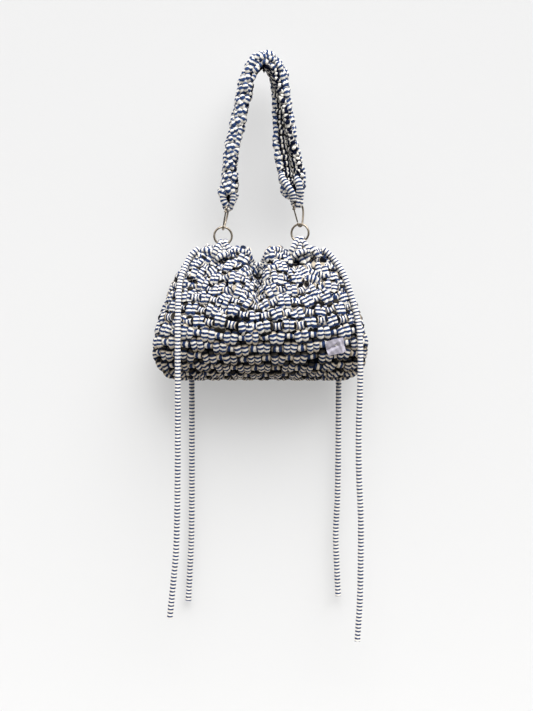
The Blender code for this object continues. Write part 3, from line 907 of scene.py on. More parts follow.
@dataclass(frozen=True)
class PouchForm:
    """The pouch's outer face as the frame has it."""

    middle: float = -8.0 * MM
    squareness: float = 0.86         # under 1 the plan fills its corners
    side_share: float = 0.6          # how far from front to back the side line runs
    fold_reach: float = 1.6          # above 1 the gathers keep their full depth nearer to the sides
    folds_start: float = 0.42        # the share of the way up where the gathers begin
    rise_start: float = 0.50         # the share where rows start to follow the mouth's edge
    # share of the way up, then height, half width, and how far front and back stand out, in millimetres
    sections: tuple = (
        (0.00, -432.0, 112.0, 2.0, 2.0),
        (0.07, -430.5, 124.5, -13.0, 19.0),
        (0.15, -424.0, 135.0, -27.0, 33.0),
        (0.24, -411.0, 144.5, -40.0, 42.0),
        (0.35, -391.0, 149.0, -51.0, 46.0),
        (0.46, -368.0, 146.0, -57.0, 47.0),
        (0.57, -345.0, 138.5, -55.0, 46.0),
        (0.68, -322.0, 131.0, -46.0, 44.0),
        (0.79, -299.0, 122.0, -35.0, 41.0),
        (0.88, -281.0, 112.0, -24.0, 38.0),
        (0.95, -265.5, 101.0, -14.0, 36.0),
        (1.00, -250.0, 86.0, -8.0, 34.0),
    )
    # the mouth's gathers: places along it, and how far they stand out and rise there, in millimetres
    front_folds: tuple = (
        (-86.0, 0.0, 0.0), (-70.0, 8.0, 4.0), (-52.2, -4.0, -2.9), (-40.0, 3.0, -0.5),
        (-26.0, 10.0, 3.0), (-15.0, 7.0, -2.0), (-8.0, -3.0, -14.0), (-2.5, -12.0, -27.0),
        (2.5, -3.0, -16.0), (8.0, 7.0, -3.0), (15.0, 10.0, 4.0), (26.0, 5.0, 2.0),
        (38.0, 0.0, -3.0), (55.6, -4.0, 2.5), (70.0, 8.0, 2.0), (86.0, 0.0, 0.0),
    )
    back_folds: tuple = (
        (-86.0, 0.0, 0.0), (-66.0, 7.0, 3.0), (-46.0, -7.0, -2.0), (-26.0, 8.0, 2.0), (-4.0, -9.0, -24.0),
        (20.0, 8.0, 3.0), (42.0, -7.0, -2.0), (64.0, 7.0, 3.0), (86.0, 0.0, 0.0),
    )

    def fold_at(self, folds: tuple, x: np.ndarray) -> tuple[np.ndarray, np.ndarray]:
        """How far the mouth stands out and rises at places along it.

        Args:
            folds: The crests and valleys of one face.
            x: The places along the mouth, in millimetres.

        Returns:
            How far it stands out, and how far it rises, in metres.
        """
        table = np.asarray(folds, float)
        inside = np.abs(x) < folds[-1][0]
        out, rise = [np.where(inside, through(table[:, 0], table[:, column], x), 0.0) for column in (1, 2)]
        return out * MM, rise * MM

    def point(self, angle: np.ndarray, share: np.ndarray) -> np.ndarray:
        """Read points of the face.

        Args:
            angle: Angles round it, from the front's middle.
            share: Shares of the way up it.

        Returns:
            The points, in the angles' shape by 3.
        """
        table = np.asarray(self.sections, float)
        z, half_width, front, back = [
            through(table[:, 0], table[:, column], share) * MM for column in range(1, 5)
        ]
        across = np.sin(angle)
        facing = np.cos(angle)
        in_front = facing > 0.0
        side_line = front + self.side_share * (back - front)
        x = half_width * np.sign(across) * np.abs(across) ** self.squareness
        y = side_line + (np.where(in_front, front, back) - side_line) * np.abs(facing) ** self.squareness
        at_mouth = x / half_width * self.front_folds[-1][0]
        front_out, front_rise = self.fold_at(self.front_folds, at_mouth)
        back_out, back_rise = self.fold_at(self.back_folds, at_mouth)
        depth = smooth_step(self.folds_start, 1.0, share) * np.minimum(1.0, self.fold_reach * np.abs(facing))
        y = y - np.where(in_front, front_out, -back_out) * depth
        z = z + np.where(in_front, front_rise, back_rise) * smooth_step(self.rise_start, 1.0, share)
        return np.stack([x + self.middle, y, z], axis=-1)

    def skin(self, levels: int = 131, columns: int = 504, fine: int = 1440) -> Skin:
        """Sample the face with its columns evenly spaced along the gathered fabric.

        Args:
            levels: Rows of samples from the bottom line to the mouth.
            columns: Samples round each row.
            fine: Samples used to space them.

        Returns:
            The sampled skin.
        """
        angles = np.linspace(0.0, 2.0 * math.pi, fine + 1)
        rows = []
        for share in np.linspace(0.0, 1.0, levels):
            runs = runs_of(self.point(angles, np.full_like(angles, share)))
            even = np.interp(runs[-1] * np.arange(columns) / columns, runs, angles)
            rows.append(self.point(even, np.full_like(even, share)))
        return Skin(np.array(rows))


@dataclass
class Pouch:
    """The crocheted pouch: an underlayer painted near black as shade, with pairs of upright stitches and
    crosswise bars over it.
    """

    form: PouchForm
    stitch: bpy.types.Material
    under: bpy.types.Material
    units: int = 21                  # pairs of stitches round the pouch
    rows: int = 13                   # from the bottom line to the mouth
    inner_rows: int = 7              # of them, those that the mouth shows on the inner face
    row_rise: float = 17.0 * MM
    unit_width: float = 33.0 * MM    # of a unit whose stitches have their full size
    unit_range: tuple[float, float] = (0.4, 1.2)        # how far its width counts
    stub: Stub = Stub(
        radius=5.15 * MM,
        spacing=0.94,
        lean=0.9 * MM,
        lean_spread=0.7 * MM,
        half_rows=0.72,
        half_spread=0.03,
        upper_dive=(7.0, 3.3),
        lower_dive=(6.5, 5.0),
        taper=0.16,
        stripe_spread=0.12,
    )
    longer: float = 0.03             # half the length that stitches gain at the mouth, in rows
    longest: float = 0.74            # half the longest stitch, as a share of the way left to the mouth
    round_spread: float = 0.0024     # how far pairs stray from their places, round and up, as shares
    up_spread: float = 0.007
    up_spread_more: float = 0.010    # at the mouth
    bar_radius: float = 5.7 * MM
    bar_radius_spread: float = 0.05
    bar_half: float = 0.33           # half a bar's length, as a share of a unit
    bar_shift: float = 0.3 * MM      # how far it lies above the middle of its row
    bar_spread: float = 0.9 * MM
    bar_bow: float = 0.6 * MM        # how far its ends rise
    bar_dive: float = 3.8 * MM
    bar_taper: float = 0.08
    bar_turn: float = 0.7            # how much of a pair's turn it takes
    bar_up_spread: float = 0.003
    bar_stretch: float = 1.4
    chain_radius: float = 4.2 * MM
    # the chain's three strands: depth and drop from the edge, in millimetres, and shift in stitches
    chain: tuple = ((0.9, 4.4, 0.0), (4.0, 3.0, 0.5), (7.2, 4.4, 0.25))
    top: float = 3.3 * MM            # how far a pair stands over the frame's own face
    bar_sunk: float = 2.2 * MM       # how far a bar lies below the pairs
    inner_face: float = 8.0 * MM     # how far the inner face lies behind the outer
    pitch: float = 4.7 * MM
    sag: float = 0.06                # how far rows rise towards the two sides, as a share of the wall
    # painted shade between the stitches, added towards the bottom and lessened towards the top
    depth: PaintedShadeRule = PaintedShadeRule(low=0.31, low_gain=1.6, high_share=0.64, open_end=1.03)
    seed: int = 11

    def build(self) -> list[bpy.types.Object]:
        """Build the underlayer and its stitches.

        Returns:
            The pouch's pieces.
        """
        skin = self.form.skin()
        core = self.build_core(skin)
        outer = self.build_rows("pouch_stitches", skin, range(self.rows), 1.0, self.seed)
        shown = range(self.rows - self.inner_rows, self.rows)
        inner = self.build_rows("pouch_inner_stitches", skin, shown, -1.0, self.seed + 1)
        cover = [outer, inner, self.build_lip(skin)]
        for piece in cover:
            settle(piece, Body.BAG, Slot.CROCHET)
        settle(core, Body.BAG, Slot.CROCHET, "bag_body")
        return [core, *cover]

    def build_core(self, skin: Skin) -> bpy.types.Object:
        """The wall between the outer and the inner stitches, painted near black as shade, which sinks behind
        them at the bottom.

        Args:
            skin: The surface that it lies under.

        Returns:
            The wall.
        """
        bm = skin.lining(168, 40, (0.0, 0.985), 5.0 * MM, fade=1.0 / 12.0)
        bmesh.ops.recalc_face_normals(bm, faces=bm.faces)
        bmesh.ops.solidify(bm, geom=bm.faces, thickness=1.2 * MM)
        return show("pouch_underlayer", mesh_of(bm, 80.0), [self.under])

    def chaos(self, u: np.ndarray, v: np.ndarray, rng: np.random.Generator) -> np.ndarray:
        """How far each stitch is turned: a little low down, and more where the mouth is gathered.

        Args:
            u: Shares of the way round.
            v: Shares of the way up.
            rng: The source of small differences.

        Returns:
            The turns, in radians.
        """
        even, gathered, bound = 0.12, 0.46, 0.34        # low down, more at the gathers, less at the edge
        loose = even + gathered * smooth_step(0.42, 0.85, v) - bound * smooth_step(0.90, 1.0, v)
        round_wave = np.sin(2.0 * math.pi * (9.0 * u + 1.3 * v))
        back_wave = np.sin(2.0 * math.pi * (5.0 * u - 2.1 * v + 0.3))
        return loose * (0.4 * (round_wave + back_wave) + 0.6 * rng.normal(size=u.shape))

    def build_rows(self, name: str, skin: Skin, rows: range, facing: float, seed: int) -> bpy.types.Object:
        """The stitches of one face.

        Args:
            name: The piece's name.
            skin: The surface under them.
            rows: The rows that are laid, numbered from the bottom.
            facing: 1 on the outer face and -1 on the inner.
            seed: What its small differences come from.

        Returns:
            The joined stitches.
        """
        rng = np.random.default_rng(seed)
        strands = Strands(skin)
        for row in rows:
            self.lay_row(strands, row, rng, facing)
        return strands.cast(name, self.stitch, self.sag, self.depth)

    def lay_row(self, strands: Strands, row: int, rng: np.random.Generator, facing: float) -> None:
        """Lay one row: a pair of upright stitches and a bar in each unit.

        Args:
            strands: Where the strands are collected.
            row: The row's number from the bottom.
            rng: The source of small differences.
            facing: 1 on the outer face and -1 on the inner.
        """
        count = self.units
        v = np.full(count, (2.0 * row + 1.0) / (2.0 * self.rows))
        pair_u = (np.arange(count) + 0.25 + 0.5 * (row % 2)) / count
        width = strands.skin.width_at(v) / count
        snug = np.sqrt(np.clip(width / self.unit_width, *self.unit_range))
        base = 0.0 if facing > 0.0 else -self.inner_face
        gathered = smooth_step(0.45, 0.8, v)
        u_now = pair_u + rng.normal(size=count) * self.round_spread
        v_now = v + rng.normal(size=count) * (self.up_spread + self.up_spread_more * gathered)
        turn = self.chaos(pair_u, v, rng)
        phase = rng.uniform(0.0, self.pitch, count)
        for side in (-1.0, 1.0):
            radius = self.stub.thickness(snug, rng)
            across = self.stub.beside(side, radius, rng)
            half = self.stub.half_rows + self.longer * gathered
            half = self.row_rise * (half + self.stub.half_spread * rng.normal(size=count))
            most = self.longest * (1.0 - v) * strands.skin.climb
            up = np.minimum(half, most)[:, None] * ALONG
            height = facing * (self.top - radius[:, None]) + base - facing * self.stub.dive()
            own = phase + self.stub.stripe_spread * self.pitch * rng.normal(size=count)
            strands.lay(u_now, v_now, across, up, height, self.stub.swell(radius), own, turn)
        bar_u = pair_u + 0.5 / count
        radius = self.bar_radius * snug * (1.0 + self.bar_radius_spread * rng.normal(size=count))
        across = (width * self.bar_half)[:, None] * ALONG
        up = self.bar_shift + self.bar_spread * rng.normal(size=(count, 1)) + self.bar_bow * ALONG**2
        centre = facing * (self.top - self.bar_sunk - radius[:, None]) + base
        height = centre - facing * self.bar_dive * np.abs(ALONG) ** 3
        swell = radius[:, None] * (1.0 - self.bar_taper * np.abs(ALONG) ** 3)
        turn = self.chaos(bar_u, v, rng) * self.bar_turn
        phase = rng.uniform(0.0, self.pitch, count)
        v_now = v + self.bar_up_spread * rng.normal(size=count)
        strands.lay(bar_u, v_now, across, up, height, swell, phase, turn, stretch=self.bar_stretch)

    def build_lip(self, skin: Skin) -> bpy.types.Object:
        """The chain that finishes the mouth: a strand along each side of its edge and one on top.

        Args:
            skin: The surface that ends there.

        Returns:
            The joined chain.
        """
        rng = np.random.default_rng(self.seed + 2)
        strands = Strands(skin)
        count = self.units * 2
        v = np.full(count, 1.0)
        width = skin.width_at(v) / count
        for depth, drop, shift in self.chain:
            u = (np.arange(count) + shift) / count
            across = 0.78 * width[:, None] * ALONG
            up = -drop * MM + 0.8 * MM * ALONG + 0.5 * MM * rng.normal(size=(count, 1))
            height = np.broadcast_to(-depth * MM - 1.2 * MM * ALONG, across.shape)
            slim = 1.0 - 0.12 * np.abs(ALONG) ** 2
            radius = self.chain_radius * slim * (1.0 + 0.05 * rng.normal(size=(count, 1)))
            phase = rng.uniform(0.0, self.pitch, count)
            strands.lay(u, v, across, up, height, radius, phase, 0.06 * rng.normal(size=count))
        return strands.cast("pouch_edge_chain", self.stitch)


# ---------------------------------------------------------------- drawstring


@dataclass
class Drawstring:
    """The drawstring: four free ends hanging from the mouth, and the stretch that crosses its notch."""

    finish: bpy.types.Material
    radius: float = 4.0 * MM
    sides: int = 14
    spacing: float = 2.4 * MM        # between the rings of a cord
    swell_pitch: float = 31.0 * MM   # a hand-pulled cord is a little thicker about every so far
    bridge_middle: tuple[float, float, float] = (-12.5 * MM, 6.0 * MM, -272.6 * MM)
    bridge_half: float = 12.0 * MM
    bridge_rings: int = 15
    # each free end's route from the mouth down, in millimetres
    routes: dict[str, tuple] = field(
        default_factory=lambda: {
            "left_front": (
                (-94.6, -3.7, -251.0), (-100.0, -7.2, -255.3), (-106.0, -9.7, -263.0),
                (-112.0, -15.2, -276.0), (-118.0, -25.7, -294.0), (-120.2, -33.7, -312.0),
                (-120.6, -40.7, -332.0), (-120.9, -45.7, -355.0), (-120.9, -47.7, -380.0),
                (-120.9, -48.1, -410.0), (-120.8, -48.1, -450.0), (-120.8, -47.9, -500.0),
                (-121.0, -47.7, -560.0), (-121.8, -47.2, -620.0), (-123.4, -46.7, -670.0),
                (-127.5, -45.7, -715.0), (-132.0, -44.7, -760.0),
            ),
            "left_back": (
                (-93.6, 30.4, -251.0), (-98.0, 34.0, -256.0), (-102.0, 37.0, -264.0),
                (-106.0, 40.4, -278.0), (-108.4, 43.8, -300.0), (-108.9, 45.4, -325.0),
                (-108.0, 46.2, -355.0), (-107.0, 46.4, -385.0), (-106.3, 46.6, -430.0),
                (-106.0, 46.8, -480.0), (-106.0, 47.0, -540.0), (-106.0, 47.2, -600.0),
                (-106.8, 47.4, -660.0), (-109.0, 47.4, -710.0), (-111.0, 47.4, -750.0),
            ),
            "right_front": (
                (78.6, -0.1, -251.0), (85.0, -0.9, -255.3), (93.0, -2.7, -263.0), (101.0, -7.1, -274.0),
                (109.0, -12.5, -289.0), (114.9, -18.1, -306.0), (120.4, -22.5, -324.0),
                (125.5, -26.7, -344.0), (129.0, -30.9, -364.0), (130.0, -33.3, -385.0),
                (130.2, -33.7, -410.0), (129.5, -33.7, -450.0), (127.8, -33.7, -500.0),
                (128.0, -33.7, -560.0), (130.5, -33.3, -620.0), (130.5, -32.9, -680.0),
                (129.5, -32.3, -735.0), (126.0, -31.7, -794.0),
            ),
            "right_back": (
                (78.2, 27.0, -251.0), (82.6, 30.5, -256.0), (88.6, 31.9, -264.0), (94.6, 34.9, -278.0),
                (99.6, 37.7, -298.0), (102.4, 40.5, -325.0), (103.6, 41.5, -355.0), (104.0, 41.9, -385.0),
                (103.6, 42.3, -430.0), (103.4, 42.7, -480.0), (103.0, 43.1, -540.0), (102.0, 43.5, -600.0),
                (99.5, 43.9, -655.0), (101.0, 44.1, -700.0), (103.0, 44.3, -743.0),
            ),
        }
    )

    def build(self) -> list[bpy.types.Object]:
        """Build every length of the drawstring.

        Returns:
            The bridge and the four free ends.
        """
        return [self.build_bridge(), *(self.build_tail(name) for name in self.routes)]

    def build_tail(self, name: str) -> bpy.types.Object:
        """A free end, with a bare cut face.

        Args:
            name: Which of the four it is.

        Returns:
            The cord.
        """
        knots = np.array(self.routes[name]) * MM
        length = float(runs_of(smooth_route(knots, 400))[-1])
        rings = int(length / self.spacing)
        path = smooth_route(knots, rings)
        rng = np.random.default_rng(len(name) + rings)
        swell = 1.0 + 0.025 * np.sin(np.linspace(0.0, 2.0 * math.pi * length / self.swell_pitch, rings))
        swell = swell + 0.012 * rng.normal(size=rings)
        radii = (self.radius * swell)[None]
        start = rng.uniform(0.0, 10.0 * MM, 1)
        mould = CordMould(self.sides, rings)
        piece = mould.cast(f"drawstring_{name}", path[None], FRONT, radii, start, self.finish)
        settle(piece, Body.BAG, Slot.CORD, f"tail_{name}")
        return piece

    def build_bridge(self) -> bpy.types.Object:
        """The stretch across the notch, its ends inside the gathers.

        Returns:
            The cord.
        """
        t = np.linspace(-1.0, 1.0, self.bridge_rings)
        bow = np.stack([t * self.bridge_half, 2.0 * MM * t**2, 1.2 * MM * t**2 - 0.4 * MM], axis=-1)
        path = np.array(self.bridge_middle) + bow
        radii = np.full((1, self.bridge_rings), self.radius)
        mould = CordMould(self.sides, self.bridge_rings)
        piece = mould.cast("drawstring_over_notch", path[None], FRONT, radii, np.array([0.0]), self.finish)
        return settle(piece, Body.BAG, Slot.CORD, "drawstring_bridge")


# ---------------------------------------------------------------- strap


@dataclass(frozen=True)
class StrapForm:
    """The shoulder band's face: its route, and its section with the hollow that it curls round."""

    width: float = 38.0 * MM
    thick: float = 25.0 * MM
    corners: float = 0.8             # under 1 the section fills its corners
    curl_depth: float = 0.95         # the deepest hollow, as a share of half the thickness
    curl_width: float = 0.55
    # x, y, z in millimetres, then width, thickness and curl as shares, and the turn in degrees
    stations: tuple = (
        (-52.0, 0.0, -180.9, 0.62, 0.82, 0.0, 0.0),
        (-53.0, 0.0, -172.0, 0.86, 1.12, 0.0, 0.0),
        (-49.5, 0.0, -156.0, 0.88, 1.00, 0.2, 0.0),
        (-49.3, 0.0, -136.0, 0.95, 0.95, 0.5, 0.0),
        (-45.5, 0.0, -110.0, 1.00, 0.98, 0.6, 0.0),
        (-39.5, 0.0, -80.0, 1.00, 1.00, 0.6, 0.0),
        (-32.5, 0.0, -48.0, 1.00, 1.00, 0.5, 0.0),
        (-25.5, 0.0, -18.0, 1.00, 1.02, 0.3, 0.0),
        (-17.0, 0.0, 2.5, 1.00, 1.06, 0.05, 0.0),
        (-2.0, 0.0, 13.5, 1.00, 1.08, 0.0, 0.0),
        (12.0, 0.0, 3.5, 1.00, 1.06, 0.05, -6.0),
        (18.0, 0.0, -18.0, 1.00, 1.04, 0.4, -14.0),
        (21.5, 0.0, -48.0, 1.00, 1.00, 0.8, -26.0),
        (25.0, 0.0, -80.0, 1.00, 1.00, 1.0, -42.0),
        (28.5, 0.0, -108.0, 1.00, 1.00, 1.0, -58.0),
        (33.5, 0.0, -134.0, 1.02, 1.00, 1.0, -72.0),
        (37.0, 0.0, -156.0, 0.98, 1.00, 0.7, -74.0),
        (38.5, 0.0, -170.0, 0.86, 0.95, 0.2, -72.0),
        (42.2, 0.0, -176.5, 0.58, 0.80, 0.0, -70.0),
    )

    def skin(self, levels: int = 220, columns: int = 96, fine: int = 360) -> Skin:
        """Sample the band from its left end to its right.

        Args:
            levels: Samples along the band.
            columns: Samples round it, evenly spaced on its face.
            fine: Samples used to space them.

        Returns:
            The sampled skin. Round share 0 is the middle of the hollow.
        """
        table = np.asarray(self.stations, float)
        route = table[:, :3] * MM
        runs = runs_of(route)
        at = np.linspace(0.0, runs[-1], levels)
        centres = np.stack([through(runs, route[:, axis], at) for axis in range(3)], axis=-1)
        wide, thick, curl, turn = [through(runs, table[:, column], at) for column in range(3, 7)]
        along = unit(np.gradient(centres, axis=0))
        flat = np.broadcast_to(-FRONT, along.shape)
        inward = unit(np.cross(flat, along))
        cosine = np.cos(np.radians(turn))[:, None]
        sine = np.sin(np.radians(turn))[:, None]
        width_way = flat * cosine + np.cross(along, flat) * sine
        thick_way = inward * cosine + np.cross(along, inward) * sine
        angles = np.linspace(0.0, 2.0 * math.pi, fine + 1)
        across = np.sign(np.sin(angles)) * np.abs(np.sin(angles)) ** self.corners
        depth = np.sign(np.cos(angles)) * np.abs(np.cos(angles)) ** self.corners
        hollow = np.where(np.cos(angles) > 0.0, np.exp(-((across / self.curl_width) ** 2)), 0.0)
        rows = []
        for level in range(levels):
            curled = depth - self.curl_depth * curl[level] * hollow
            places = (
                centres[level]
                + width_way[level] * (0.5 * self.width * wide[level] * across)[:, None]
                + thick_way[level] * (0.5 * self.thick * thick[level] * curled)[:, None]
            )
            lengths = runs_of(places)
            goals = lengths[-1] * np.arange(columns) / columns
            rows.append(np.stack([np.interp(goals, lengths, places[:, axis]) for axis in range(3)], axis=-1))
        return Skin(np.array(rows))


@dataclass
class Strap:
    """The shoulder band: columns of stitches along it, slanted strands in its hollow in a darker blue as
    painted shade, and a core painted near black as shade.
    """

    form: StrapForm
    stitch: bpy.types.Material
    # a darker blue copy of the band's cord, as painted shade for the strands in the hollow
    shaded: bpy.types.Material
    under: bpy.types.Material
    row_pitch: float = 12.0 * MM
    stub: Stub = Stub(
        radius=4.2 * MM,
        spacing=0.90,
        lean=1.0 * MM,
        lean_spread=0.8 * MM,
        half_rows=0.62,
        half_spread=0.05,
        upper_dive=(7.5, 2.6),
        lower_dive=(7.0, 3.2),
        taper=0.14,
        stripe_spread=0.10,
    )
    full_round: float = 106.8 * MM   # round the band where its stitches have their full size
    full_range: tuple[float, float] = (0.6, 1.1)        # how far the way round counts
    proud: float = 0.3 * MM          # how far stitches stand over the band's own face
    place_spread: float = 0.006      # how far they stray along it, as a share, aside and in height
    aside_spread: float = 0.4 * MM
    height_spread: float = 0.8 * MM
    turn_spread: float = 0.13        # in radians
    hollow_radius: float = 3.3 * MM
    hollow_reach: float = 6.8 * MM   # half the length of a strand in the hollow
    hollow_step: float = 0.0185      # from one such strand to the next, as a share of the band
    pitch: float = 4.6 * MM
    top_share: tuple[float, float] = (0.40, 0.56)       # where the band goes from its left limb to its right
    outer_from: float = 0.6          # columns placed past this, as a share round, are on its outer side
    outer_shift: float = 0.028       # how far those move round from one limb to the other
    seed: int = 23
    # each column's place round, whether it is a pair, its lean on the two limbs in radians, and its stretch
    columns: tuple = (
        (0.155, True, 0.2, -0.42, 0.0, 0.40),
        (0.155, True, 0.2, -0.42, 0.53, 1.0),
        (0.30, True, 0.2, -0.25, 0.0, 1.0),
        (0.43, True, 0.3, 0.2, 0.0, 1.0),
        (0.565, True, 0.45, 0.3, 0.0, 1.0),
        (0.712, True, 0.52, 0.3, 0.0, 1.0),
        (0.833, False, -0.35, 0.2, 0.0, 0.56),
    )
    # the same for the strands in the hollow: place, lean, stretch, and how far their stripes keep in line
    floats: tuple = (
        (-0.115, 0.35, 0.53, 0.965, 0.0),
        (-0.052, 0.90, 0.53, 0.78, 0.0),
        (-0.052, -0.12, 0.78, 0.965, 1.0),
        (0.040, -0.30, 0.53, 0.80, 0.3),
        (0.040, -0.20, 0.80, 0.965, 1.0),
        (-0.175, -0.55, 0.56, 0.955, 0.0),
        (-0.10, -0.45, 0.04, 0.40, 0.0),
        (-0.03, 0.35, 0.04, 0.40, 0.0),
        (0.05, -0.30, 0.04, 0.40, 0.0),
    )
    # the strands that close its two ends: their knots, radii and starts of stripes, in millimetres
    end_knots: tuple = (
        ((-50, -9, -166), (-57, -10, -171.5), (-60, -9, -179.5), (-57.5, -8, -187), (-53.5, -5, -191)),
        ((-52, -8, -166), (-47, -10.5, -171), (-46.3, -9, -179), (-47, -8, -186), (-49.5, -5, -190.5)),
        ((20.5, -7, -147), (25.5, -11.5, -157), (31, -14, -165.5), (36.5, -12.5, -174.5), (38.5, -9.5, -184)),
        ((42, -7, -150), (45.5, -11, -158), (46.8, -10.5, -166), (46.5, -8, -174), (44, -5, -180)),
    )
    end_radii: tuple = (4.6, 4.0, 4.7, 4.8)
    end_starts: tuple = (0.6, 2.4, 1.0, 3.0)
    # the dark inside of each end: its middle and its half sizes in millimetres
    end_cores: tuple = (((-53.0, -3.0, -180.5), (6.5, 5.0, 8.0)), ((40.0, -3.0, -169.0), (8.0, 6.0, 9.0)))

    def build(self) -> list[bpy.types.Object]:
        """Build the band's core and stitches.

        Returns:
            The band's pieces.
        """
        skin = self.form.skin()
        core = self.build_core(skin)
        cover = [self.build_face(skin), self.build_hollow(skin), self.build_ends(), self.build_end_cores()]
        settle(core, Body.BAG, Slot.CROCHET, "strap")
        for piece in cover:
            settle(piece, Body.BAG, Slot.CROCHET)
        return [core, *cover]

    def build_core(self, skin: Skin) -> bpy.types.Object:
        """The inside of the band, closed at both ends, painted near black as shade.

        Args:
            skin: The surface that it lies under.

        Returns:
            The core.
        """
        columns = 32
        bm = skin.lining(columns, 90, (0.01, 0.99), 4.0 * MM)
        bmesh.ops.holes_fill(bm, edges=[e for e in bm.edges if e.is_boundary], sides=columns + 2)
        bmesh.ops.recalc_face_normals(bm, faces=bm.faces)
        return show("strap_core", mesh_of(bm, 80.0), [self.under])

    def build_ends(self) -> bpy.types.Object:
        """The thick strands that lie over the band's two ends.

        Returns:
            The joined strands.
        """
        rings = 20
        paths = np.array([smooth_route(knots, rings) for knots in self.end_knots]) * MM
        taper = 1.0 - 0.22 * np.abs(np.linspace(-1.0, 1.0, rings)) ** 5
        radii = np.array(self.end_radii)[:, None] * taper * MM
        starts = np.array(self.end_starts) * MM
        mould = CordMould(sides=12, rings=rings)
        return mould.cast("strap_end_strands", paths, FRONT, radii, starts, self.stitch, flatness=0.85)

    def build_end_cores(self) -> bpy.types.Object:
        """The insides of the band's two ends, behind their strands, painted near black as shade.

        Returns:
            The joined cores.
        """
        bm = bmesh.new()
        for place, size in self.end_cores:
            sized = Matrix.Diagonal((*(side * MM for side in size), 1.0))
            placed = Matrix.Translation(Vector(place) * MM) @ sized
            bmesh.ops.create_uvsphere(bm, u_segments=24, v_segments=14, radius=1.0, matrix=placed)
        return show("strap_end_cores", mesh_of(bm, 80.0), [self.under])

    def build_face(self, skin: Skin) -> bpy.types.Object:
        """The columns of stitches that run along the band.

        Args:
            skin: The surface under them.

        Returns:
            The joined stitches.
        """
        rng = np.random.default_rng(self.seed)
        strands = Strands(skin)
        rows = int(skin.climb / self.row_pitch)
        for order, (place, paired, left_lean, right_lean, start, stop) in enumerate(self.columns):
            v = (np.arange(rows) + 0.5 + 0.5 * (order % 2)) / rows
            v = np.clip(v + self.place_spread * rng.normal(size=rows), 0.015, 0.985)
            v = v[(v > start) & (v < stop)]
            count = len(v)
            phase = rng.uniform(0.0, self.pitch, count)
            over = smooth_step(*self.top_share, v)
            u = place - (self.outer_shift if place > self.outer_from else 0.0) * over
            turn = left_lean * (1.0 - over) + right_lean * over + self.turn_spread * rng.normal(size=count)
            snug = np.clip(skin.width_at(v) / self.full_round, *self.full_range)
            for side in (-1.0, 1.0) if paired else (0.0,):
                radius = self.stub.thickness(snug, rng)
                across = self.stub.beside(side, radius, rng) + self.aside_spread * rng.normal(size=(count, 1))
                half = self.row_pitch * (self.stub.half_rows + self.stub.half_spread * rng.normal(size=count))
                height = self.proud - radius[:, None] - self.stub.dive()
                height = height + self.height_spread * rng.normal(size=(count, 1))
                own = phase + self.stub.stripe_spread * self.pitch * rng.normal(size=count)
                strands.lay(u, v, across, half[:, None] * ALONG, height, self.stub.swell(radius), own, turn)
        return strands.cast("strap_stitches", self.stitch)

    def build_hollow(self, skin: Skin) -> bpy.types.Object:
        """The strands that lie across the hollow, those at its two sides leaning opposite ways, in a darker
        blue as painted shade.

        Args:
            skin: The surface under them.

        Returns:
            The joined strands.
        """
        rng = np.random.default_rng(self.seed + 1)
        strands = Strands(skin)
        for place, lean, start, stop, in_line in self.floats:
            v = np.arange(start + rng.uniform(0.0, 0.008), stop, self.hollow_step)
            rows = len(v)
            v = v + 0.002 * rng.normal(size=rows)
            radius = self.hollow_radius * (1.0 + 0.12 * rng.normal(size=(rows, 1)))
            dive = 3.6 * MM * np.abs(ALONG) ** 3
            height = (0.4 * MM - radius) - dive + 0.7 * MM * rng.normal(size=(rows, 1))
            turn = lean + 0.16 * (1.0 - 0.6 * in_line) * rng.normal(size=rows)
            phase = (1.0 - in_line) * rng.uniform(0.0, self.pitch, rows)
            phase = phase + 0.7 * MM * np.cumsum(rng.normal(size=rows))
            swell = radius * (1.0 - 0.15 * np.abs(ALONG) ** 3)
            across = self.hollow_reach * ALONG
            strands.lay(np.full(rows, place), v, across, 1.0 * MM * ALONG**2, height, swell, phase, turn)
        # painted shade laid over the whole hollow
        return strands.cast("strap_hollow_strands", self.shaded, depth=PaintedShadeRule(least=0.22))


# ---------------------------------------------------------------- metal


@dataclass(frozen=True)
class HookPlace:
    """Where a ring and its snap hook hang, with their turns in degrees."""

    side: Side
    body: Body
    ring_x: float
    ring_z: float
    ring_turn: float
    lean: float
    turn: float
    joint_at: float                  # where the ring's wire meets, from its right


HOOKS = (
    HookPlace(Side.LEFT, Body.GATE_LEFT, -60.2 * MM, -232.4 * MM, 6.0, 12.0, 82.0, 172.0),
    HookPlace(Side.RIGHT, Body.GATE_RIGHT, 47.6 * MM, -228.2 * MM, -16.0, -6.0, 44.0, 205.0),
)


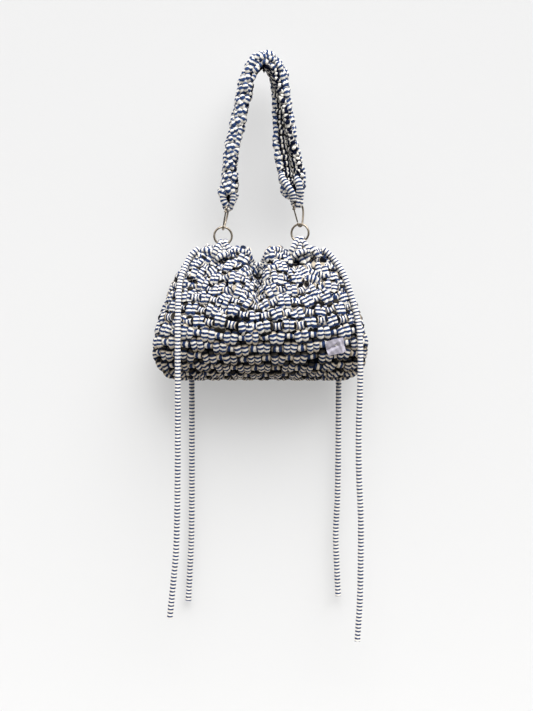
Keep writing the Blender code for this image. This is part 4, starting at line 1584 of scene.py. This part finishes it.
@dataclass
class Hardware:
    """A ring and a snap hook with its sprung gate, and the turns of cord that hold them."""

    place: HookPlace
    nickel: bpy.types.Material
    cord: bpy.types.Material
    ring_radius: float = 12.4 * MM
    ring_wire: float = 1.5 * MM
    joint_gap: float = 1.0           # the part of the ring that its joint leaves open, in degrees
    hook_wire: float = 1.4 * MM
    link_gap: float = 0.3 * MM
    loop_room: float = 1.2 * MM
    loop_shift: float = 0.72 * MM
    strand_thick: float = 2.4 * MM   # half a flattened strand's thickness
    strand_wide: float = 3.3 * MM    # half its width
    strands_apart: float = 0.97      # how far two such strands lie apart, as a share of their width
    # the hook in its own plane, from its lowest point, across and up in millimetres
    gate_top: tuple[float, float] = (-8.45, 24.6)
    gate_foot: tuple[float, float] = (-4.1, 6.5)
    crest: tuple[float, float] = (-1.0, 34.3)
    hook_route: tuple = (
        (-8.6, 26.0), (-8.9, 28.5), (-7.9, 31.3), (-5.0, 33.6), (-1.0, 34.3), (3.4, 33.6),
        (7.0, 31.0), (9.2, 26.4), (9.4, 20.8), (8.3, 14.6), (6.6, 8.6), (5.0, 3.6),
        (3.0, 0.8), (0.4, 0.0), (-2.2, 0.8), (-3.8, 3.0), (-4.0, 5.0),
    )
    # the hinge's two cheeks and its pin: radius, length and place along the pin, in millimetres
    hinge: tuple = ((1.55, 0.5, 1.45), (1.55, 0.5, -1.45), (0.7, 4.2, 0.0))
    # the gate's radius and the way down from its top, and then up from its foot, in millimetres
    gate_head: tuple = ((0.0, 0.0), (0.75, 0.0), (0.98, 1.2), (1.05, 4.0))
    gate_end: tuple = ((1.05, 3.0), (0.98, 0.6))
    gate_tip: float = 1.65           # how far its rounded tip reaches beyond that
    gate_eye: tuple[float, float] = (1.45 * MM, 2.1 * MM)      # the radius and the length of its eye
    # how the turns of cord come to the wire and leave it: along it, to the back and up, in millimetres
    strap_turn: tuple = (((1.5, -8.6, 19.0), (0.8, -7.6, 12.0)), ((-0.8, 7.6, 12.0), (-1.5, 8.6, 19.0)))
    mouth_turn: tuple = (((-3.2, -11.0, -19.0), (-2.0, -8.6, -12.0)), ((1.6, 6.4, -12.0), (2.0, 7.0, -19.0)))
    # the strands beside the mouth's turns: their knots, radii and starts of stripes, in millimetres
    flank_knots: tuple = (
        ((-15.5, -6, -21), (-12, -9.8, -14), (-8.2, -9.2, -6.5), (-4.8, -6.6, -0.8), (-1.5, -2.5, 1.6)),
        ((13.5, -5, -22), (11.2, -8.2, -15), (8.4, -8.2, -7.5), (5.2, -6, -1.6), (2, -2.2, 1)),
        ((-10.5, -8, -25), (-7, -13, -20.5), (-0.5, -14.4, -16.5), (5.5, -12.4, -14.6), (10, -7, -14)),
    )
    flank_radii: tuple = (3.9, 3.7, 3.9)
    flank_starts: tuple = (0.0, 1.7, 3.1)

    def build(self) -> list[bpy.types.Object]:
        """Build the metal and its cord.

        Returns:
            The pieces.
        """
        return [
            self.build_ring(),
            self.build_hook(),
            self.build_hinge(),
            self.build_gate(),
            self.build_strap_turns(),
            self.build_ring_turns(),
            self.build_flanks(),
        ]

    def named(self, piece: str) -> str:
        """The name of a piece on this side."""
        return f"{piece}_{self.place.side.value}"

    def hook_matrix(self) -> Matrix:
        """Where the hook's own plane lies: x across it, z up it, from the wire's lowest point.

        Returns:
            The way from that plane to the scene.
        """
        foot = self.place.ring_z + self.ring_radius - self.ring_wire - self.hook_wire - self.link_gap
        lean = Matrix.Rotation(math.radians(self.place.lean), 4, "Y")
        turn = Matrix.Rotation(math.radians(self.place.turn), 4, "Z")
        return Matrix.Translation((self.place.ring_x, 0.0, foot)) @ lean @ turn

    def ring_matrix(self) -> Matrix:
        """Where the ring lies: its own z axis points to the front.

        Returns:
            The way from the ring's own axes to the scene.
        """
        turn = Matrix.Rotation(math.radians(self.place.ring_turn), 4, "Z")
        facing = turn @ Matrix.Rotation(math.pi / 2.0, 4, "X")
        return Matrix.Translation((self.place.ring_x, 0.0, self.place.ring_z)) @ facing

    def mouth_matrix(self) -> Matrix:
        """Where the mouth's cord goes round the ring's lowest point."""
        low = self.place.ring_z - self.ring_radius + self.loop_shift
        return Matrix.Translation((self.place.ring_x, 0.0, low))

    def build_ring(self) -> bpy.types.Object:
        """The ring: wire bent round until its cut ends meet in a hairline joint.

        Returns:
            The ring.
        """
        bm = bmesh.new()
        made = bmesh.ops.create_circle(bm, cap_ends=False, segments=16, radius=self.ring_wire)
        stand = Matrix.Translation((self.ring_radius, 0.0, 0.0)) @ Matrix.Rotation(math.pi / 2.0, 4, "X")
        start = Matrix.Rotation(math.radians(self.place.joint_at + 0.5 * self.joint_gap), 4, "Z")
        bmesh.ops.transform(bm, matrix=start @ stand, verts=made["verts"])
        bmesh.ops.spin(
            bm,
            geom=bm.edges[:],
            cent=(0.0, 0.0, 0.0),
            axis=(0.0, 0.0, 1.0),
            angle=math.radians(360.0 - self.joint_gap),
            steps=96,
        )
        bmesh.ops.holes_fill(bm, edges=[e for e in bm.edges if e.is_boundary], sides=32)
        bmesh.ops.recalc_face_normals(bm, faces=bm.faces)
        round_rims(bm, 0.18 * MM)
        bmesh.ops.transform(bm, matrix=self.ring_matrix(), verts=bm.verts)
        piece = show(self.named("steel_ring"), mesh_of(bm), [self.nickel])
        return settle(piece, Body.BAG, Slot.NICKEL, self.named("ring"))

    def build_hook(self) -> bpy.types.Object:
        """The hook's bent wire, with a small rounded nose.

        Returns:
            The hook.
        """
        rings = 96
        placed = self.hook_matrix()
        knots = np.array([(x, 0.0, z) for x, z in self.hook_route]) * MM
        path = put(placed, smooth_route(knots, rings))
        share = np.linspace(0.0, 1.0, rings)
        slimmer = 0.22 * smooth_step(0.97, 1.0, share) + 0.18 * smooth_step(0.03, 0.0, share)
        radii = self.hook_wire * (1.0 - slimmer)
        side = put(placed.to_3x3(), -FRONT)
        mould = CordMould(sides=14, rings=rings)
        start = np.array([0.0])
        piece = mould.cast(self.named("snap_hook"), path[None], side, radii[None], start, self.nickel)
        return settle(piece, Body.BAG, Slot.NICKEL, self.named("clip_frame"))

    def build_hinge(self) -> bpy.types.Object:
        """The two cheeks and the pin that the gate turns on.

        Returns:
            The joined parts.
        """
        bm = bmesh.new()
        for radius, length, shift in self.hinge:
            bmesh.ops.translate(bm, vec=(0.0, 0.0, shift * MM), verts=add_rod(bm, radius * MM, length * MM))
        round_rims(bm, 0.12 * MM)
        pin_way = Matrix.Rotation(math.pi / 2.0, 4, "X")
        place = Matrix.Translation((self.gate_top[0] * MM, 0.0, self.gate_top[1] * MM))
        bmesh.ops.transform(bm, matrix=self.hook_matrix() @ place @ pin_way, verts=bm.verts)
        return settle(show(self.named("gate_hinge"), mesh_of(bm, 40.0), [self.nickel]), Body.BAG, Slot.NICKEL)

    def build_gate(self) -> bpy.types.Object:
        """The gate: a slim rod with an eye round the pin and a rounded free end.

        Returns:
            The gate.
        """
        top = Vector((self.gate_top[0] * MM, 0.0, self.gate_top[1] * MM))
        foot = Vector((self.gate_foot[0] * MM, 0.0, self.gate_foot[1] * MM))
        long = (foot - top).length / MM
        profile = [*self.gate_head, *((radius, long - way) for radius, way in self.gate_end)]
        tip_radius, tip_from = profile[-1]
        for angle in (math.pi / 10.0 * step for step in range(1, 6)):
            profile.append((tip_radius * math.cos(angle), tip_from + self.gate_tip * math.sin(angle)))
        bm = bmesh.new()
        points = [bm.verts.new((radius * MM, 0.0, -way * MM)) for radius, way in profile]
        for a, b in zip(points, points[1:]):
            bm.edges.new((a, b))
        bmesh.ops.spin(
            bm,
            geom=bm.edges[:],
            cent=(0.0, 0.0, 0.0),
            axis=(0.0, 0.0, 1.0),
            angle=2.0 * math.pi,
            steps=16,
            use_merge=True,
        )
        bmesh.ops.remove_doubles(bm, verts=bm.verts, dist=0.01 * MM)
        down = (foot - top).normalized().to_track_quat("-Z", "X").to_matrix().to_4x4()
        bmesh.ops.transform(bm, matrix=down, verts=bm.verts)
        pin_way = Matrix.Rotation(math.pi / 2.0, 4, "X")
        bmesh.ops.transform(bm, matrix=pin_way, verts=add_rod(bm, *self.gate_eye))
        bmesh.ops.recalc_face_normals(bm, faces=bm.faces)
        bmesh.ops.transform(bm, matrix=self.hook_matrix() @ Matrix.Translation(top), verts=bm.verts)
        piece = show(self.named("snap_gate"), mesh_of(bm, 50.0), [self.nickel])
        return settle(piece, self.place.body, Slot.NICKEL, self.named("clip_gate"))

    def turns(self, name: str, frame_at: Matrix, profile: list[tuple], node: str) -> bpy.types.Object:
        """Lay two flattened strands side by side round a wire.

        Args:
            name: The piece's name.
            frame_at: Its own frame: x along the wire, z up.
            profile: The strand's path in that frame, in millimetres.
            node: The frame's node that it replaces.

        Returns:
            The joined strands.
        """
        rings = 40
        path = smooth_route(np.array(profile) * MM, rings)
        beside = np.array([self.strand_wide * self.strands_apart, 0.0, 0.0])
        paths = np.array([path - beside, path + beside])
        rng = np.random.default_rng(len(name))
        piece = CordMould(sides=12, rings=rings).cast(
            name,
            put(frame_at, paths),
            put(frame_at.to_3x3(), unit(paths * (0.0, 1.0, 1.0))),
            np.full((2, rings), self.strand_wide),
            rng.uniform(0.0, 5.0 * MM, 2),
            self.cord,
            flatness=self.strand_thick / self.strand_wide,
        )
        return settle(piece, Body.BAG, Slot.CORD, node)

    def build_strap_turns(self) -> bpy.types.Object:
        """The strap's end strands, round the hook's crest and up into the strap.

        Returns:
            The joined strands.
        """
        placed = self.hook_matrix()
        crest = placed @ Vector((self.crest[0] * MM, 0.0, self.crest[1] * MM))
        centre = Matrix.Translation(crest - Vector((0.0, 0.0, self.loop_shift)))
        hanging = placed.to_3x3().to_4x4()
        reach = (self.hook_wire + self.link_gap + self.loop_room + self.strand_thick) / MM
        down, up = self.strap_turn
        profile = [*down, (0.2, -reach - 0.6, 5.0), *half_round(reach, -1.0), (-0.2, reach + 0.6, 5.0), *up]
        return self.turns(self.named("strap_end_turns"), centre @ hanging, profile, self.named("strap_loop"))

    def build_ring_turns(self) -> bpy.types.Object:
        """The mouth's strands, up through the ring and back down.

        Returns:
            The joined strands.
        """
        along = Matrix.Rotation(math.radians(self.place.ring_turn), 4, "Z")
        reach = (self.ring_wire + self.link_gap + self.loop_room + self.strand_thick) / MM
        up, down = self.mouth_turn
        profile = [*up, (-0.8, -reach - 0.6, -5.0), *half_round(reach, 1.0), (0.8, reach + 0.4, -5.0), *down]
        placed = self.mouth_matrix() @ along
        return self.turns(self.named("mouth_turns"), placed, profile, self.named("ring_tab"))

    def build_flanks(self) -> bpy.types.Object:
        """Two strands of the mouth that lean in on the turns from both sides, and one across their foot.

        Returns:
            The joined strands.
        """
        rings = 18
        paths = np.array([smooth_route(np.array(knots) * MM, rings) for knots in self.flank_knots])
        taper = 1.0 - 0.25 * np.abs(np.linspace(-1.0, 1.0, rings)) ** 4
        radii = np.array(self.flank_radii)[:, None] * MM * taper
        starts = np.array(self.flank_starts) * MM
        facing = unit(np.array([0.0, -1.0, 0.25]))
        centres = put(self.mouth_matrix(), paths)
        piece = CordMould(sides=12, rings=rings).cast(
            self.named("mouth_flanks"), centres, facing, radii, starts, self.cord, flatness=0.8
        )
        return settle(piece, Body.BAG, Slot.CORD)


# ---------------------------------------------------------------- label


@dataclass
class Label:
    """A small bare ribbon label sewn over the stitches, slightly crumpled."""

    form: PouchForm
    satin: bpy.types.Material
    thread: bpy.types.Material
    width: float = 25.0 * MM
    height: float = 19.6 * MM
    thick: float = 0.5 * MM
    turn: float = 13.0               # in degrees
    x: float = 94.0 * MM
    z: float = -386.4 * MM
    over: float = 4.5 * MM           # over the pouch's own face
    sewing_inset: float = 1.3 * MM   # from the ribbon's edge
    sewing_pitch: float = 2.6 * MM
    sewing_reach: float = 0.85 * MM  # half the length of one sewing stitch
    sewing_radius: float = 0.28 * MM

    def front_at(self, x: np.ndarray, z: np.ndarray) -> tuple[np.ndarray, np.ndarray]:
        """Find the points of the pouch's front with a given x and z.

        Args:
            x: Their places across.
            z: Their heights.

        Returns:
            The points, and which way the front faces there.
        """
        table = np.asarray(self.form.sections, float)
        low = np.full_like(x, 0.2)
        high = np.full_like(x, 0.95)
        for _ in range(40):
            share = 0.5 * (low + high)
            half_width = through(table[:, 0], table[:, 2], share) * MM
            across = np.clip((x - self.form.middle) / half_width, -0.999, 0.999)
            angle = np.arcsin(np.sign(across) * np.abs(across) ** (1.0 / self.form.squareness))
            under = self.form.point(angle, share)[..., 2] < z
            low = np.where(under, share, low)
            high = np.where(under, high, share)
        round_way = self.form.point(angle + 0.01, share) - self.form.point(angle - 0.01, share)
        up_way = self.form.point(angle, share + 0.02) - self.form.point(angle, share - 0.02)
        return self.form.point(angle, share), unit(np.cross(round_way, up_way))

    def place(self, along: np.ndarray, up: np.ndarray, over: np.ndarray) -> np.ndarray:
        """Find points of the label.

        Args:
            along: Distances across from its middle.
            up: Distances up from its middle.
            over: Distances over the pouch.

        Returns:
            The points.
        """
        turn = math.radians(self.turn)
        x = self.x + along * math.cos(turn) - up * math.sin(turn)
        z = self.z + along * math.sin(turn) + up * math.cos(turn)
        points, outward = self.front_at(x, z)
        return points + outward * over[..., None]

    def rise(self, along: np.ndarray, up: np.ndarray) -> np.ndarray:
        """How far the ribbon stands over the pouch: it is creased across one corner and lifts at its edges.

        Args:
            along: Distances across from its middle.
            up: Distances up from its middle.

        Returns:
            The distances over the pouch's own face.
        """
        a = along / self.width
        b = up / self.height
        valley = -3.2 * MM * np.exp(-(((b - 0.30 * a - 0.02) / 0.12) ** 2))
        valley = valley * (1.0 - smooth_step(0.15, 0.4, a))
        fold = 1.3 * MM * np.exp(-(((a - 0.27 + 0.1 * b) / 0.06) ** 2)) - 0.9 * MM * smooth_step(0.27, 0.5, a)
        ripple = 0.5 * MM * np.cos(9.0 * b - 5.0 * a) + 0.3 * MM * np.cos(21.0 * a + 8.0 * b)
        lift = 1.3 * MM * np.abs(2.0 * a) ** 6 * np.abs(2.0 * b) ** 2
        return self.over + valley + fold + ripple + lift

    def build(self) -> list[bpy.types.Object]:
        """Build the ribbon and its sewing.

        Returns:
            The two pieces.
        """
        ribbon = self.build_ribbon()
        sewing = self.build_sewing()
        settle(ribbon, Body.BAG, Slot.LABEL, "label")
        settle(sewing, Body.BAG, Slot.LABEL)
        return [ribbon, sewing]

    def build_ribbon(self) -> bpy.types.Object:
        """The ribbon, its sides a little drawn in, given its thickness.

        Returns:
            The ribbon.
        """
        bm = bmesh.new()
        bmesh.ops.create_grid(bm, x_segments=42, y_segments=32, size=0.5)
        co = np.array([v.co for v in bm.verts])
        along = co[:, 0] * self.width * (1.0 - 0.03 * np.abs(2.0 * co[:, 1]) ** 2)
        up = co[:, 1] * self.height * (1.0 - 0.04 * np.abs(2.0 * co[:, 0]) ** 2)
        for vert, place in zip(bm.verts, self.place(along, up, self.rise(along, up))):
            vert.co = place
        bmesh.ops.recalc_face_normals(bm, faces=bm.faces)
        bmesh.ops.solidify(bm, geom=bm.faces, thickness=self.thick)
        return show("label_ribbon", mesh_of(bm, 50.0), [self.satin])

    def build_sewing(self) -> bpy.types.Object:
        """Short running stitches just inside the ribbon's two upright edges.

        Returns:
            The joined stitches.
        """
        reach = 0.5 * self.height - self.sewing_inset
        count = int(2.0 * reach / self.sewing_pitch)
        middles = (np.arange(count) + 0.5) / count * 2.0 * reach - reach
        t = np.linspace(-1.0, 1.0, 5)[None, :]
        up = middles[:, None] + self.sewing_reach * t
        paths = []
        for side in (-1.0, 1.0):
            along = np.full_like(up, side * (0.5 * self.width - self.sewing_inset))
            over = self.rise(along, up) + 0.35 * MM * (1.0 - np.abs(t) ** 2.5)
            paths.append(self.place(along, up, over))
        path = np.concatenate(paths)
        radii = np.full(path.shape[:2], self.sewing_radius)
        mould = CordMould(sides=6, rings=5)
        return mould.cast("label_sewing", path, FRONT, radii, np.zeros(len(path)), self.thread)


# ---------------------------------------------------------------- stage


@dataclass(frozen=True)
class Studio:
    """A pale painted wall close behind, a pale floor, one soft lamp from the upper right, and the camera."""

    wall_y: float = 57.0 * MM
    wall_middle: float = -200.0 * MM
    wall_size: tuple[float, float] = (8.0, 8.0)
    floor_z: float = -1350.0 * MM
    floor_size: tuple[float, float] = (2.2, 1.0)
    camera_place: tuple[float, float, float] = (0.7 * MM, -2200.0 * MM, -399.7 * MM)
    seen_height: float = 995.4 * MM
    wall_paint: str = "#B4B4B4"
    wall_glow: float = 0.335         # the wall is a translucent screen, lit a little from behind
    floor_paint: str = "#A9A7A4"
    key_strength: float = 3.1
    key_from: tuple[float, float] = (28.0, 58.0)    # degrees to the right of the camera, and up
    key_softness: float = 55.0
    fill_below: float = 0.05
    fill_above: float = 2.3
    fill_span: tuple[float, float] = (-0.25, 0.95)  # from straight down, -1, to straight up, 1

    def build(self) -> None:
        """Set up the wall, floor, lights and camera."""
        upright = Matrix.Rotation(math.pi / 2.0, 4, "X")
        facing = Matrix.Translation((0.0, self.wall_y, self.wall_middle)) @ upright
        self.build_surface("studio_wall", self.wall_size, facing, self.wall_paint, self.wall_glow)
        level = Matrix.Translation((0.0, self.wall_y - 0.5 * self.floor_size[1], self.floor_z))
        self.build_surface("studio_floor", self.floor_size, level, self.floor_paint, 0.0)
        self.build_key()
        self.build_fill()
        self.build_camera()

    def build_surface(
        self, name: str, size: tuple[float, float], place: Matrix, paint: str, glow: float
    ) -> None:
        """Make a flat painted surface that can't be seen from behind.

        Args:
            name: The surface's name.
            size: Its two sides.
            place: Where its middle is and which way it faces.
            paint: Its colour.
            glow: How brightly it shines by itself.
        """
        bm = bmesh.new()
        bmesh.ops.create_grid(bm, x_segments=2, y_segments=2, size=0.5)
        bmesh.ops.transform(bm, matrix=place @ Matrix.Diagonal((*size, 1.0, 1.0)), verts=bm.verts)
        made, tree, shader = new_material(f"matt_paint_{name}")
        join(tree, shader, {"Base Color": linear(paint), "Roughness": 0.95, "Specular IOR Level": 0.1})
        join(tree, shader, {"Emission Color": (1.0, 1.0, 1.0, 1.0), "Emission Strength": glow})
        behind = add_node(tree, "ShaderNodeNewGeometry").outputs["Backfacing"]
        clear = add_node(tree, "ShaderNodeBsdfTransparent")
        mix = add_node(tree, "ShaderNodeMixShader", {0: behind, 1: shader.outputs[0], 2: clear.outputs[0]})
        join(tree, tree.nodes["Material Output"], {"Surface": mix.outputs[0]})
        show(name, mesh_of(bm), [made])

    def build_key(self) -> None:
        """A large soft lamp, far off to the upper right."""
        lamp = bpy.data.lights.new("soft_key", "SUN")
        lamp.energy = self.key_strength
        lamp.angle = math.radians(self.key_softness)
        placed = bpy.data.objects.new("soft_key", lamp)
        bpy.context.scene.collection.objects.link(placed)
        aside, up = (math.radians(angle) for angle in self.key_from)
        to_lamp = Vector((math.sin(aside) * math.cos(up), -math.cos(aside) * math.cos(up), math.sin(up)))
        placed.rotation_euler = to_lamp.to_track_quat("Z", "Y").to_euler()

    def build_fill(self) -> None:
        """Light from all round, strong from above and weak from below."""
        world = bpy.data.worlds.new("soft_fill")
        bpy.context.scene.world = world
        world.use_nodes = True
        tree = world.node_tree
        way = add_node(tree, "ShaderNodeTexCoord").outputs["Generated"]
        height = add_node(tree, "ShaderNodeSeparateXYZ", {0: way}).outputs["Z"]
        low, high = self.fill_span
        span = {"From Min": low, "From Max": high, "To Min": self.fill_below, "To Max": self.fill_above}
        strength = add_node(
            tree, "ShaderNodeMapRange", {"Value": height, **span}, interpolation_type="SMOOTHSTEP"
        )
        light = {"Color": (1.0, 1.0, 1.0, 1.0), "Strength": strength.outputs["Result"]}
        join(tree, tree.nodes["Background"], light)

    def build_camera(self) -> None:
        """The camera, square to the wall."""
        data = bpy.data.cameras.new("camera")
        distance = -self.camera_place[1]
        data.lens = data.sensor_width * distance / self.seen_height
        placed = bpy.data.objects.new("camera", data)
        bpy.context.scene.collection.objects.link(placed)
        placed.location = self.camera_place
        placed.rotation_euler = (math.pi / 2.0, 0.0, 0.0)
        bpy.context.scene.camera = placed


def main() -> None:
    """Build the scene in order."""
    logging.basicConfig(level=logging.INFO, format="%(message)s")
    bpy.context.scene.view_settings.view_transform = "Standard"
    Studio().build()
    cord = StripedCordFinish(
        "striped_knitted_cord", pitch=4.9 * MM, blue_share=0.45, waver=0.08, chevron=0.10
    ).make()
    # its warm colour is painted bounce light where the stitches lie deep
    stitch = StripedCordFinish("striped_crochet_cord", bounce_tint="#FFF3E2").make()
    # near-black underlayer: painted shade between the stitches
    under = ShadeUnderlayerFinish().make()
    band = StripedCordFinish("striped_strap_cord", pitch=4.6 * MM, blue="#3C5583", blue_deep="#212D50").make()
    # a darker blue copy of the band's cord, as painted shade for the strands in the hollow
    shaded = StripedCordFinish(
        "shaded_strap_cord", pitch=5.4 * MM, blue_share=0.60, waver=0.30, blue="#17203F", blue_deep="#050812"
    ).make()
    nickel = NickelFinish().make()
    satin = SatinFinish().make()
    thread = SatinFinish("polyester_sewing_thread", pale="#E4E0EC", shade="#BDB7CC").make()
    built = []
    built += Drawstring(cord).build()
    built += Pouch(PouchForm(), stitch, under).build()
    built += Strap(StrapForm(), band, shaded, under).build()
    for hook in HOOKS:
        built += Hardware(hook, nickel, cord).build()
    built += Label(PouchForm(), satin, thread).build()
    for piece in built:
        LOG.info("%s: %d faces", piece.name, len(piece.data.polygons))


if __name__ == "__main__":
    main()
